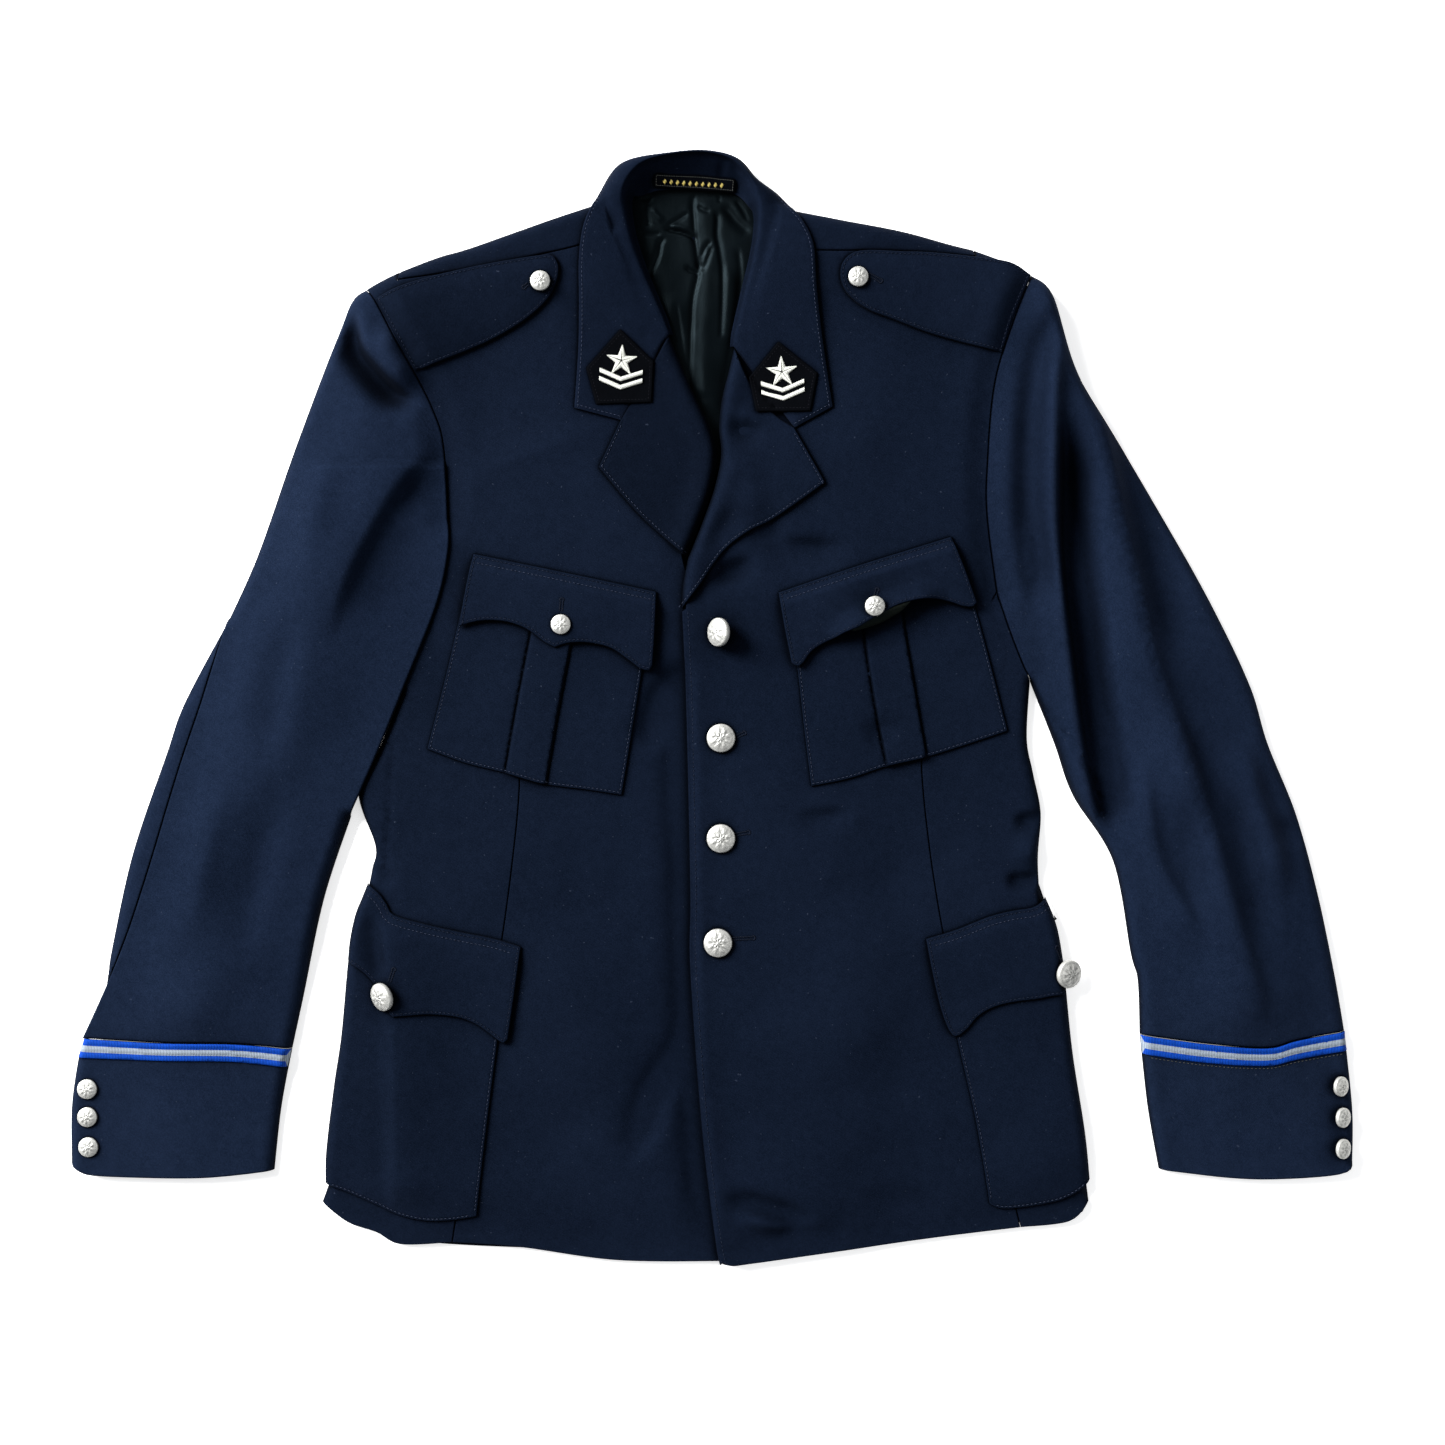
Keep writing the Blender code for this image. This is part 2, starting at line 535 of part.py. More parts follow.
def lying(name, ring, base, wall, look, foot=None, foot_line=None, foot_side=1, extra=None, rise=0.0):
    """A piece that lies on the cloth, with a sewn edge that reaches down to it or a raised pleat."""
    if foot is not None:
        line = set_in(foot_line, foot_side)
        band = line + moved_line(line, FOLD_BAND * foot_side)[::-1]
        return stacked(name, ring, [((ring,), {1}), ((band,), {0, 1})], [foot, base, above(base, wall)],
                       [HIDDEN_WALL, wall * PRESSED_SHARE], look)
    if extra is not None:
        return stacked(name, ring, [((ring,), {0}), ((extra,), {0, 1})],
                       [base, above(base, wall), above(base, wall + rise)], [wall, rise], look)
    return stacked(name, ring, [((ring,), {0})], [base, above(base, wall)], [wall], look)


def surface(x, y):
    """Height of the highest cloth made so far at this place."""
    best = 0.0
    for tree in TREES:
        hit = tree.ray_cast(Vector((x, y, RAY_START)), Vector((0.0, 0.0, -1.0)))[0]
        if hit is not None:
            best = max(best, hit.z)
    return best


def body_side(waist, hip, corner, side):
    """The body's side fold: free at the waist, set back under the hip pocket, free again at the hem."""
    return smooth(waist) + moved_line(smooth(hip), FOLD_SET_BACK * side) + [place(corner)]


def make_back(look):
    """Back, and the two ends of it that turn over the shoulders to the front."""
    right, left = smooth(SHOULDER_RIGHT), smooth(SHOULDER_LEFT)
    side_right = moved_line(body_side(WAIST_RIGHT, HIP_SIDE_RIGHT, HEM_CORNER_RIGHT, 1), FOLD_SET_BACK)[:-1]
    side_left = moved_line(body_side(WAIST_LEFT, HIP_SIDE_LEFT, HEM_CORNER_LEFT, -1), -FOLD_SET_BACK)[:-1]
    ring = joined(smooth(NECKLINE), left, straight(BACK_TIP_LEFT), smooth(BACK_ARMHOLE_LEFT),
                  [place(UNDERARM_CLEAR_BACK)], side_left,
                  smooth(BACK_HEM)[::-1], side_right[::-1], smooth(BACK_ARMHOLE_RIGHT)[::-1],
                  straight(BACK_TIP_RIGHT)[::-1], right[::-1])
    stacked("back", ring, [((ring,), {0})], [flat(0.0), flat(BACK_WALL)], [BACK_WALL], look)
    rows = (("shoulder_right", right, SHOULDER_RIGHT, SHOULDER_SEAM_RIGHT, 1),
            ("shoulder_left", left, SHOULDER_LEFT, SHOULDER_SEAM_LEFT, -1))
    for name, edge, edge_plan, seam_plan, side in rows:
        strip = joined(edge, straight([edge_plan[-1], seam_plan[-1]]), smooth(seam_plan)[::-1],
                       straight([seam_plan[0], edge_plan[0]]))
        fold = set_in(edge, side)
        band = fold + moved_line(fold, FOLD_BAND * side)[::-1]
        levels = [flat(BACK_WALL + GAP), UPPER, rounded(above(UPPER, FRONT_WALL), [fold], foot=SHOULDER_FOOT)]
        stacked(name, strip, [((strip,), {1}), ((band, strip), {0, 1})], levels,
                [HIDDEN_WALL, FRONT_WALL * PRESSED_SHARE], look,
                [moved_line(fold, FOLD_ROUND * ROUND_LINE * side)])


def make_body(navy):
    """Fronts and side panels."""
    armhole, hidden = smooth(ARMHOLE_RIGHT), smooth(ARMHOLE_RIGHT_HIDDEN)
    tip = smooth(SHOULDER_TIP_RIGHT)
    roll = moved_line(smooth(ROLL_RIGHT), -FOLD_SET_BACK)
    turn = place(LAPEL_TURN)
    neck = smooth(NECK_FRONT_RIGHT)
    to_tip = straight([SHOULDER_SEAM_RIGHT[-1], SHOULDER_RIGHT[-1]])
    edge = smooth(FRONT_EDGE_RIGHT_HIDDEN)
    ring = joined(smooth(SHOULDER_SEAM_RIGHT), to_tip, tip, armhole, hidden, smooth(SIDE_SEAM_RIGHT),
                  smooth(HEM_FRONT_RIGHT), edge, [place(FRONT_EDGE_RIGHT_HIDDEN[-1]), turn],
                  [turn] + roll[::-1], [roll[0], neck[-1]], neck[::-1])
    panel("front_right", ring, UPPER, FRONT_WALL, navy, [(tip, 1)])

    armhole, tip = smooth(ARMHOLE_LEFT), smooth(SHOULDER_TIP_LEFT)
    roll = moved_line(smooth(ROLL_LEFT) + smooth(ROLL_LEFT_EDGE)[1:], FOLD_SET_BACK)
    neck = smooth(NECK_FRONT_LEFT)
    edge = smooth(FRONT_EDGE_LEFT)
    to_tip = straight([SHOULDER_SEAM_LEFT[-1], SHOULDER_LEFT[-1]])
    ring = joined(smooth(SHOULDER_SEAM_LEFT), to_tip, tip, armhole, smooth(SIDE_SEAM_LEFT),
                  smooth(HEM_FRONT_LEFT)[::-1], edge[::-1], [edge[0], roll[-1]],
                  roll[::-1], [roll[0], neck[0]], neck)
    panel("front_left", ring, above(UPPER, LAP), FRONT_WALL, navy, [(tip, -1)])

    side = body_side(WAIST_RIGHT, HIP_SIDE_RIGHT, HEM_CORNER_RIGHT, 1)
    ring = joined(smooth(UNDERARM_RIGHT), side, smooth(HEM_SIDE_RIGHT), smooth(SIDE_SEAM_RIGHT)[::-1])
    panel("side_panel_right", ring, UPPER, FRONT_WALL, navy, [(side, 1)])
    side = body_side(WAIST_LEFT, HIP_SIDE_LEFT, HEM_CORNER_LEFT, -1)
    ring = joined(smooth(UNDERARM_LEFT), side, smooth(HEM_SIDE_LEFT)[::-1], smooth(SIDE_SEAM_LEFT)[::-1])
    panel("side_panel_left", ring, above(UPPER, LAP), FRONT_WALL, navy, [(side, -1)])


def make_neck(navy, black):
    """Back lining seen in the neck, the bare label, the lapels and the collar."""
    lining = inset(straight(LINING), SEAM_INSET)
    floor = flat(BACK_WALL + GAP)
    stacked("neck_lining", lining, [((lining,), {0})], [floor, above(floor, LINING_WALL)], [LINING_WALL],
            black, gridded=False)
    label = straight(LABEL)
    base = above(floor, LINING_WALL + GAP)
    stacked("label", label, [((label,), {0})], [base, above(base, LABEL_WALL)], [LABEL_WALL],
            black, gridded=False)

    roll = smooth(ROLL_RIGHT)
    ring = joined(roll, smooth(LAPEL_EDGE_RIGHT)[::-1], smooth(GORGE_RIGHT)[::-1])
    base = above(UPPER, FRONT_WALL + GAP)
    lying("lapel_right", ring, base, LAPEL_WALL, navy, UPPER, roll, -1)
    roll = smooth(ROLL_LEFT) + smooth(ROLL_LEFT_EDGE)[1:]
    ring = joined(roll, smooth(LAPEL_EDGE_LEFT)[::-1], smooth(GORGE_LEFT)[::-1])
    lying("lapel_left", ring, above(base, LAP), LAPEL_WALL, navy, above(UPPER, LAP), roll, 1)
    make_collar(navy)


def collar_section(seam, fold, edge):
    """Points of the collar's outer face from the neck seam over the fold to the outer edge."""
    spots = []
    for k in range(COLLAR_INNER_STEPS):
        t = k / COLLAR_INNER_STEPS
        rise = math.sin(t * math.pi / 2)
        spots.append([seam[n] + (fold[n] - seam[n]) * share for n, share in enumerate((t, t, rise))])
    for k in range(COLLAR_OUTER_STEPS + 1):
        t = k / COLLAR_OUTER_STEPS
        drop = 1.0 - math.sqrt(max(0.0, 1.0 - t ** 2))
        spots.append([fold[n] + (edge[n] - fold[n]) * share for n, share in enumerate((t, t, drop))])
    return spots


def make_collar(look):
    """The folded collar: it stands at the back of the neck and lies on the fronts at its ends."""
    tops, bottoms = [], []
    for station in COLLAR:
        corners = [place(point) + (point[2],) for point in station]
        for x, y, z in collar_section(*corners):
            floor = max(surface(x + COLLAR_REACH * i, y + COLLAR_REACH * j)
                        for i in (-1, 0, 1) for j in (-1, 0, 1))
            low = max(z - COLLAR_WALL, floor + COLLAR_CLEARANCE)
            if floor == 0.0:
                low = max(z - COLLAR_WALL * COLLAR_FREE_WALL, COLLAR_LOWEST)
            tops.append((x, y, max(z, low + COLLAR_WALL * COLLAR_LEAST)))
            bottoms.append((x, y, low))
    across = COLLAR_INNER_STEPS + COLLAR_OUTER_STEPS + 1
    rows = len(COLLAR)
    count = len(tops)
    faces = []
    for i in range(rows - 1):
        for j in range(across - 1):
            a, b = i * across + j, i * across + j + 1
            c, d = b + across, a + across
            faces.extend([(a, b, c), (a, c, d)])
            faces.extend([(count + a, count + c, count + b), (count + a, count + d, count + c)])
    rim = [i * across for i in range(rows)]
    rim += [(rows - 1) * across + j for j in range(1, across)]
    rim += [i * across + across - 1 for i in range(rows - 2, -1, -1)]
    rim += [j for j in range(across - 2, 0, -1)]
    for a, b in zip(rim, rim[1:] + rim[:1]):
        faces.append((a, b, count + b, count + a))
    make_object("collar", tops + bottoms, [face[::-1] for face in faces], look)


def make_sleeves(navy):
    """Upper and under sleeves."""
    armhole = smooth(ARMHOLE_RIGHT)
    over, inner = smooth(SLEEVE_OVER_RIGHT), smooth(SLEEVE_INNER_RIGHT)
    outer, seam = smooth(SLEEVE_OUTER_RIGHT), smooth(SLEEVE_SEAM_RIGHT)
    ring = joined(armhole, over, inner, smooth(CUFF_LINE_RIGHT)[::-1], seam[::-1], outer[::-1])
    panel("top_sleeve_right", ring, above(UPPER, OVER), FRONT_WALL, navy, [(inner, -1), (outer, 1)])

    wrap = smooth(SLEEVE_WRAP_RIGHT)
    strip = joined(wrap, seam[::-1])
    cuff = smooth(CUFF_LINE_RIGHT)
    beside_body = moved_line(smooth(WAIST_RIGHT), -FOLD_SET_BACK)
    highest, lowest = (place(point)[1] for point in BESIDE_BODY)
    beside_body = [point for point in beside_body if highest > point[1] > lowest]
    inner_floor = beside_body + moved_line(inner, -FOLD_SET_BACK)[:-1]
    outer_floor = moved_line(outer, FOLD_SET_BACK)[1:]
    ring = joined(smooth(BACK_ARMHOLE_RIGHT), inner_floor, cuff[-2::-1], wrap[::-1], outer_floor[::-1])
    fold = set_in(wrap, 1)
    band = fold + moved_line(fold, FOLD_BAND)[::-1]
    levels = [flat(0.0), flat(BACK_WALL), above(UPPER, OVER), rounded(above(UPPER, OVER, FRONT_WALL), [fold])]
    stacked("under_sleeve_right", ring, [((ring,), {0}), ((strip,), {2}), ((band, strip), {0, 1, 2})], levels,
            [HIDDEN_WALL, HIDDEN_WALL, FRONT_WALL * PRESSED_SHARE], navy, gridded=False)

    inner, outer = smooth(SLEEVE_INNER_LEFT), smooth(SLEEVE_OUTER_LEFT)
    ring = joined(smooth(ARMHOLE_LEFT), smooth(UNDERARM_LEFT), inner, smooth(CUFF_LINE_LEFT), outer[::-1])
    panel("top_sleeve_left", ring, UPPER, FRONT_WALL, navy, [(inner, 1), (outer, -1)])
    inner_floor, outer_floor = moved_line(inner, FOLD_SET_BACK)[:-1], moved_line(outer, -FOLD_SET_BACK)[1:-1]
    ring = joined(smooth(BACK_ARMHOLE_LEFT), [place(UNDERARM_CLEAR_SLEEVE)], inner_floor,
                  smooth(CUFF_LINE_LEFT)[1:-1], outer_floor[::-1])
    stacked("under_sleeve_left", ring, [((ring,), {0})], [flat(0.0), flat(BACK_WALL)], [BACK_WALL], navy,
            gridded=False)


def make_cuff(name, line, outer, end, inner, braid_name, braid_lower, navy, blue):
    """A flattened tube with a braid along its upper edge."""
    outer, end, inner, line = smooth(outer), smooth(end), smooth(inner), smooth(line)
    ring = joined(outer, end, inner, line)
    side = 1 if area_of(ring) > 0 else -1
    folds = [set_in(outer, side), set_in(inner, side)]
    bands = [fold + moved_line(fold, FOLD_BAND * side)[::-1] for fold in folds]
    levels = [flat(0.0), flat(BACK_WALL), above(UPPER, GAP), rounded(above(UPPER, CUFF_WALL + GAP), folds)]
    regions = [((ring,), {0, 2})] + [((band,), {0, 1, 2}) for band in bands]
    stacked(name, ring, regions, levels, [HIDDEN_WALL, HIDDEN_WALL, CUFF_WALL * PRESSED_SHARE], navy)
    lying(braid_name, joined(line, smooth(braid_lower)), above(UPPER, CUFF_WALL + GAP * 2), BRAID_WALL, blue)


def make_pockets(navy):
    """Straps, patch pockets with a pleat, and their scalloped flaps."""
    on_front = above(UPPER, FRONT_WALL + GAP)
    on_left = above(on_front, LAP)
    for name, outline, base in (("strap_right", STRAP_RIGHT, on_front), ("strap_left", STRAP_LEFT, on_left)):
        lying(name, inset(straight(outline), SEAM_INSET), base, STRAP_WALL, navy)
    rows = (("chest_pocket_right", CHEST_POCKET_RIGHT, CHEST_PLEAT_RIGHT, on_front),
            ("chest_pocket_left", CHEST_POCKET_LEFT, CHEST_PLEAT_LEFT, on_left))
    for name, outline, pleat, base in rows:
        lying(name, straight(outline), base, POCKET_WALL, navy, extra=straight(pleat), rise=PLEAT_RISE)
    flap_lift = POCKET_WALL + PLEAT_RISE + GAP
    rows = (("chest_flap_right", CHEST_FLAP_RIGHT, 2, -1, on_front, flap_lift),
            ("chest_flap_left", CHEST_FLAP_LEFT, 2, -1, on_left, flap_lift),
            ("hip_flap_right", HIP_FLAP_RIGHT, 4, -1, on_front, POCKET_WALL + GAP),
            ("hip_flap_left", HIP_FLAP_LEFT, 4, -1, on_left, POCKET_WALL + GAP))
    for name, outline, sewn, side, base, lift in rows:
        ring = straight(outline)
        lying(name, inset(ring, SEAM_INSET), above(base, lift), FLAP_WALL, navy, base, ring[:sewn], side)
    rows = (("hip_pocket_right", HIP_SIDE_RIGHT, HIP_POCKET_RIGHT, on_front, 1),
            ("hip_pocket_left", HIP_SIDE_LEFT, HIP_POCKET_LEFT, on_left, -1))
    for name, side_line, rest, base, side in rows:
        fold = smooth(side_line)
        ring = joined(fold, straight(rest))
        line = set_in(fold, side)
        band = line + moved_line(line, (FOLD_BAND - GAP) * side)[::-1]
        levels = [flat(POCKET_FOOT), base, rounded(above(base, POCKET_WALL), [line], radius=POCKET_ROUND)]
        regions = [((ring,), {1}), ((band,), {0, 1})]
        stacked(name, ring, regions, levels, [HIDDEN_WALL, POCKET_WALL * PRESSED_SHARE], navy)


def settled(points, faces):
    """The points lifted until the piece just clears whatever lies below it."""
    tree = BVHTree.FromPolygons(points, faces)
    xs = [point[0] for point in points]
    ys = [point[1] for point in points]
    lift = 0.0
    for i in range(math.floor(min(xs) / SETTLE_STEP), math.ceil(max(xs) / SETTLE_STEP) + 1):
        for j in range(math.floor(min(ys) / SETTLE_STEP), math.ceil(max(ys) / SETTLE_STEP) + 1):
            x, y = i * SETTLE_STEP, j * SETTLE_STEP
            hit = tree.ray_cast(Vector((x, y, -RAY_START)), Vector((0.0, 0.0, 1.0)))[0]
            if hit is not None:
                lift = max(lift, surface(x, y) - hit.z + GAP)
    return [(x, y, z + lift) for x, y, z in points]


def draped(name, outline, wall, look):
    """A small piece whose points lie on the cloth below."""
    ring = straight(outline)
    middle = tuple(sum(point[n] for point in ring) / len(ring) for n in (0, 1))
    spots = [middle]
    for share in (0.5, 1.0):
        for a, b in zip(ring, ring[1:] + ring[:1]):
            for t in (0.0, 0.5):
                edge = [a[n] + t * (b[n] - a[n]) for n in (0, 1)]
                spots.append(tuple(middle[n] + share * (edge[n] - middle[n]) for n in (0, 1)))
    count = len(ring) * 2
    faces = []
    for k in range(count):
        a, b = 1 + k, 1 + (k + 1) % count
        c, d = a + count, b + count
        faces.extend([(0, a, b), (a, c, d), (a, d, b)])
    if area_of(ring) < 0:
        faces = [face[::-1] for face in faces]
    low = [(x, y, surface(x, y)) for x, y in spots]
    high = [(x, y, z + wall) for x, y, z in low]
    size = len(spots)
    shell = faces + [tuple(size + k for k in face[::-1]) for face in faces]
    outer = [1 + count + k for k in range(count)]
    if area_of(ring) < 0:
        outer.reverse()
    for a, b in zip(outer, outer[1:] + outer[:1]):
        shell.append((a, size + a, size + b, b))
    make_object(name, settled(high + low, shell), shell, look)


def make_button(name, x, y, size, lean, direction, look):
    """A domed metal button, set just clear of whatever is below it."""
    across, height = size
    points = [(0.0, 0.0, 0.0)]
    for share, rise in BUTTON_PROFILE:
        for k in range(BUTTON_SIDES):
            angle = 2 * math.pi * k / BUTTON_SIDES
            reach = across / 2 * share
            points.append((reach * math.cos(angle), reach * math.sin(angle), height * rise))
    points.append((0.0, 0.0, height))
    rings = len(BUTTON_PROFILE)
    faces = []
    for k in range(BUTTON_SIDES):
        after = (k + 1) % BUTTON_SIDES
        faces.append((0, 1 + after, 1 + k))
        for r in range(rings - 1):
            low, high = 1 + r * BUTTON_SIDES, 1 + (r + 1) * BUTTON_SIDES
            faces.append((low + k, low + after, high + after, high + k))
        top = 1 + (rings - 1) * BUTTON_SIDES
        faces.append((top + k, top + after, len(points) - 1))
    aim = math.radians(direction)
    turn = Matrix.Rotation(math.radians(lean), 4, Vector((-math.sin(aim), math.cos(aim), 0.0)))
    centre = place((x, y))
    turned = [turn @ Vector(point) for point in points]
    spots = [(centre[0] + p.x, centre[1] + p.y, p.z - across) for p in turned]
    make_object(name, settled(spots, faces), faces, look)


def build():
    clear_scene()
    navy = material("navy twill", NAVY, 0.82)
    black = material("black lining", BLACK, 0.45)
    blue = material("blue braid", BRAID_BLUE, 0.6)
    felt = material("black patch", BLACK, 0.9)
    silver = material("silver metal", SILVER, 0.3, 1.0)
    make_back(navy)
    make_body(navy)
    make_neck(navy, black)
    make_sleeves(navy)
    make_cuff("cuff_right", CUFF_LINE_RIGHT[::-1], CUFF_OUTER_RIGHT, CUFF_END_RIGHT, CUFF_INNER_RIGHT,
              "braid_right", BRAID_RIGHT_LOWER, navy, blue)
    make_cuff("cuff_left", CUFF_LINE_LEFT, CUFF_OUTER_LEFT, CUFF_END_LEFT, CUFF_INNER_LEFT,
              "braid_left", BRAID_LEFT_LOWER, navy, blue)
    make_pockets(navy)
    draped("patch_right", PATCH_RIGHT, PATCH_WALL, felt)
    draped("patch_left", PATCH_LEFT, PATCH_WALL, felt)
    for row in BUTTONS:
        make_button(*row, silver)


TREES = []
build()
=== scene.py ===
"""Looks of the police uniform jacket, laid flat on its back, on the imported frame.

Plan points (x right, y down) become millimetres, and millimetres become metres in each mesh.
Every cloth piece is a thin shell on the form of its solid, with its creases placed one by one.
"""
import math

import bpy
import numpy as np
from mathutils import Matrix, Vector, noise
from mathutils.bvhtree import BVHTree
from mathutils.geometry import delaunay_2d_cdt


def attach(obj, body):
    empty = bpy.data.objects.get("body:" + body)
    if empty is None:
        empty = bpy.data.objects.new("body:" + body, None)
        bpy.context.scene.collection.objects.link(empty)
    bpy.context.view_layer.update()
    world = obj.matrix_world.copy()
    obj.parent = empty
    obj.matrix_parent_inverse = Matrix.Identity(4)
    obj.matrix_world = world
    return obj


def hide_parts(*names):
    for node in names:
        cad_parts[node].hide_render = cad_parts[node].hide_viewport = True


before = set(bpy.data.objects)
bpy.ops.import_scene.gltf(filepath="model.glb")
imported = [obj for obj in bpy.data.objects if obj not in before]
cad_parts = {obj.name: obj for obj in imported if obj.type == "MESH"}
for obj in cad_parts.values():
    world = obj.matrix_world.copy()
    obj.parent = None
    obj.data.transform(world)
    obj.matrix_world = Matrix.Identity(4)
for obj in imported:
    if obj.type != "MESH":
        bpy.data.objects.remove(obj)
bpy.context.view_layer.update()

# Driving sizes, in millimetres
HALF_HEM_WIDTH = 562.1
PLAN_HALF_HEM = 770.0
PLAN_CENTRE = (712.0, 709.396)
PLAN_UNIT = HALF_HEM_WIDTH / PLAN_HALF_HEM
GAP = 0.3
SEAM_INSET = GAP / 2
SAME_SPOT = 0.05
BACK_WALL = 2.2
LINING_WALL = 1.2
FRONT_WALL = 2.2
LAPEL_WALL = 2.4
COLLAR_WALL = 2.5
STRAP_WALL = 2.4
POCKET_WALL = 1.4
FLAP_WALL = 1.8
CUFF_WALL = 2.4
BRAID_WALL = 1.0
PATCH_WALL = 1.4
LABEL_WALL = 0.8
FOLD_FOOT = 0.9
FOLD_ROUND = 8.0
FOLD_SET_BACK = 2.8
CURVE_STEP = 3.2
BIG_SPACING = 3.4
SMALL_SPACING = 2.2
BIG_BUTTON = (21.6, 7.0)
SMALL_BUTTON = (15.0, 5.0)

SHOULDER_RIGHT = [(612, 199), (597, 204), (549, 220), (472, 247), (438, 257), (400, 272)]
SHOULDER_TIP_RIGHT = [(400, 272), (376, 284), (366, 290)]
SHOULDER_SEAM_RIGHT = [(612, 240), (568, 252), (489, 269), (400, 284)]
SHOULDER_LEFT = [(775, 207), (839, 219), (902, 231), (950, 244), (974, 250)]
SHOULDER_TIP_LEFT = [(974, 250), (998, 259), (1017, 267), (1031, 275)]
SHOULDER_SEAM_LEFT = [(775, 252), (818, 254), (902, 255), (974, 260)]
NECKLINE = [(612, 199), (626, 186), (655, 177), (692, 176), (735, 179), (755, 187), (775, 207)]
ARMHOLE_RIGHT = [(366, 290), (378, 304), (395, 336), (417, 376), (434, 411), (444, 445), (448, 518)]
ARMHOLE_RIGHT_HIDDEN = [(448, 518), (442, 540), (433, 570), (425, 600)]
UNDERARM_RIGHT = [(425, 600), (412, 660), (403, 685), (400, 692)]
ARMHOLE_LEFT = [(1031, 275), (1012, 322), (994, 384), (987, 466), (987, 514), (997, 592)]
UNDERARM_LEFT = [(997, 592), (1007, 624), (1022, 663), (1028, 675), (1031, 682)]
BACK_ARMHOLE_RIGHT = [(365.5, 290), (388, 400), (398, 500), (402, 600), (404, 680)]
BACK_ARMHOLE_LEFT = [(1031.5, 275), (1012, 400), (1008, 500), (1014, 600), (1028, 668)]
UNDERARM_CLEAR_BACK = (1026.5, 676)
UNDERARM_CLEAR_SLEEVE = (1033, 674)
WAIST_RIGHT = [(400, 692), (378, 748), (357, 791), (374, 846), (371, 868), (368, 884)]
WAIST_LEFT = [(1031, 682), (1028, 738), (1034, 772), (1042, 813), (1039, 854), (1040, 884)]
HIP_SIDE_RIGHT = [(354, 916), (347, 960), (340, 1036), (333, 1084), (325, 1150), (324, 1184)]
HIP_SIDE_LEFT = [(1055, 916), (1064, 960), (1067, 988), (1074, 1055), (1086, 1132), (1091, 1180)]
HEM_CORNER_RIGHT = (321, 1203)
HEM_CORNER_LEFT = (1090, 1202)
SIDE_SEAM_RIGHT = [(425, 600), (475, 650), (508, 715), (520, 779), (503, 935), (470, 1130), (452, 1243)]
SIDE_SEAM_LEFT = [(997, 592), (970, 640), (935, 700), (921, 762), (942, 928), (975, 1050), (1021, 1228)]
HEM_SIDE_RIGHT = [(321, 1203), (347, 1223), (376, 1233), (400, 1245), (452, 1243)]
HEM_FRONT_RIGHT = [(452, 1243), (520, 1248), (616, 1261), (722, 1262), (752, 1261)]
HEM_FRONT_LEFT = [(722, 1263), (731, 1265.5), (750, 1264), (851, 1250), (947, 1237), (1021, 1228)]
HEM_SIDE_LEFT = [(1021, 1228), (1070, 1222), (1090, 1202)]
FRONT_EDGE_LEFT = [(682, 612), (686, 706), (690, 892), (690, 969), (702, 1132), (717, 1252), (722, 1263)]
FRONT_EDGE_RIGHT_HIDDEN = [(752, 1261), (750, 900), (748, 660), (720, 590)]
NECK_FRONT_RIGHT = [(612, 240), (634, 296), (647, 322), (662, 343)]
NECK_FRONT_LEFT = [(742, 352), (752, 322), (762, 290), (775, 252)]

ROLL_RIGHT = [(669, 336), (693, 392), (710, 428), (717, 456), (712, 490), (700, 524), (686, 557)]
ROLL_LEFT = [(734, 348), (729, 370), (722, 399), (719, 428), (721, 456), (714, 490), (702, 524), (688, 559)]
ROLL_LEFT_EDGE = [(688, 559), (683, 586), (682, 609)]
GORGE_RIGHT = [(669, 336), (656, 360), (621, 421)]
GORGE_LEFT = [(734, 348), (748, 380), (772, 413), (794, 429)]
LAPEL_EDGE_RIGHT = [(621, 421), (599, 468), (640, 516), (686, 557)]
LAPEL_EDGE_LEFT = [(794, 429), (825, 484), (803, 500), (772, 521), (748, 533), (724, 552), (700, 586),
                   (682, 609)]

SLEEVE_OUTER_RIGHT = [(366, 290), (351, 304), (328, 360), (294, 449), (258, 552), (229, 617)]
SLEEVE_SEAM_RIGHT = [(229, 617), (203, 700), (179, 772), (150, 868), (122, 950), (83, 1038)]
SLEEVE_WRAP_RIGHT = [(229, 617), (184, 701), (165, 754), (131, 854), (110, 950), (102, 998), (83, 1038)]
SLEEVE_OVER_RIGHT = [(448, 518), (449.5, 548), (438, 603), (405, 687), (376, 758), (350, 817)]
SLEEVE_INNER_RIGHT = [(350, 817), (323, 899), (302, 998), (291, 1049)]
SLEEVE_OUTER_LEFT = [(1031, 275), (1053, 296), (1079, 375), (1127, 454), (1204, 588), (1250, 682),
                     (1269, 743), (1298, 815), (1319, 892), (1336, 974), (1346, 1031)]
SLEEVE_INNER_LEFT = [(1031, 682), (1055, 743), (1074, 796), (1114, 861), (1132, 954), (1139, 981),
                     (1141, 1035)]
CUFF_LINE_RIGHT = [(83, 1038), (155, 1042), (232, 1043), (291, 1049)]
CUFF_LINE_LEFT = [(1141, 1035), (1204, 1043), (1265, 1047), (1295, 1040), (1346, 1031)]
CUFF_OUTER_RIGHT = [(83, 1038), (77, 1058), (70, 1108), (70, 1161)]
CUFF_END_RIGHT = [(70, 1161), (78, 1170), (102, 1176), (198, 1178), (273, 1171)]
CUFF_INNER_RIGHT = [(273, 1171), (280, 1108), (291, 1049)]
CUFF_OUTER_LEFT = [(1346, 1031), (1354, 1108), (1354, 1161)]
CUFF_END_LEFT = [(1354, 1161), (1338, 1174), (1252, 1179), (1160, 1170)]
CUFF_INNER_LEFT = [(1160, 1170), (1149, 1108), (1141, 1035)]
BACK_HEM = [(330, 1209), (400, 1242), (568, 1253), (731, 1262), (902, 1238), (1070, 1219), (1083, 1206)]
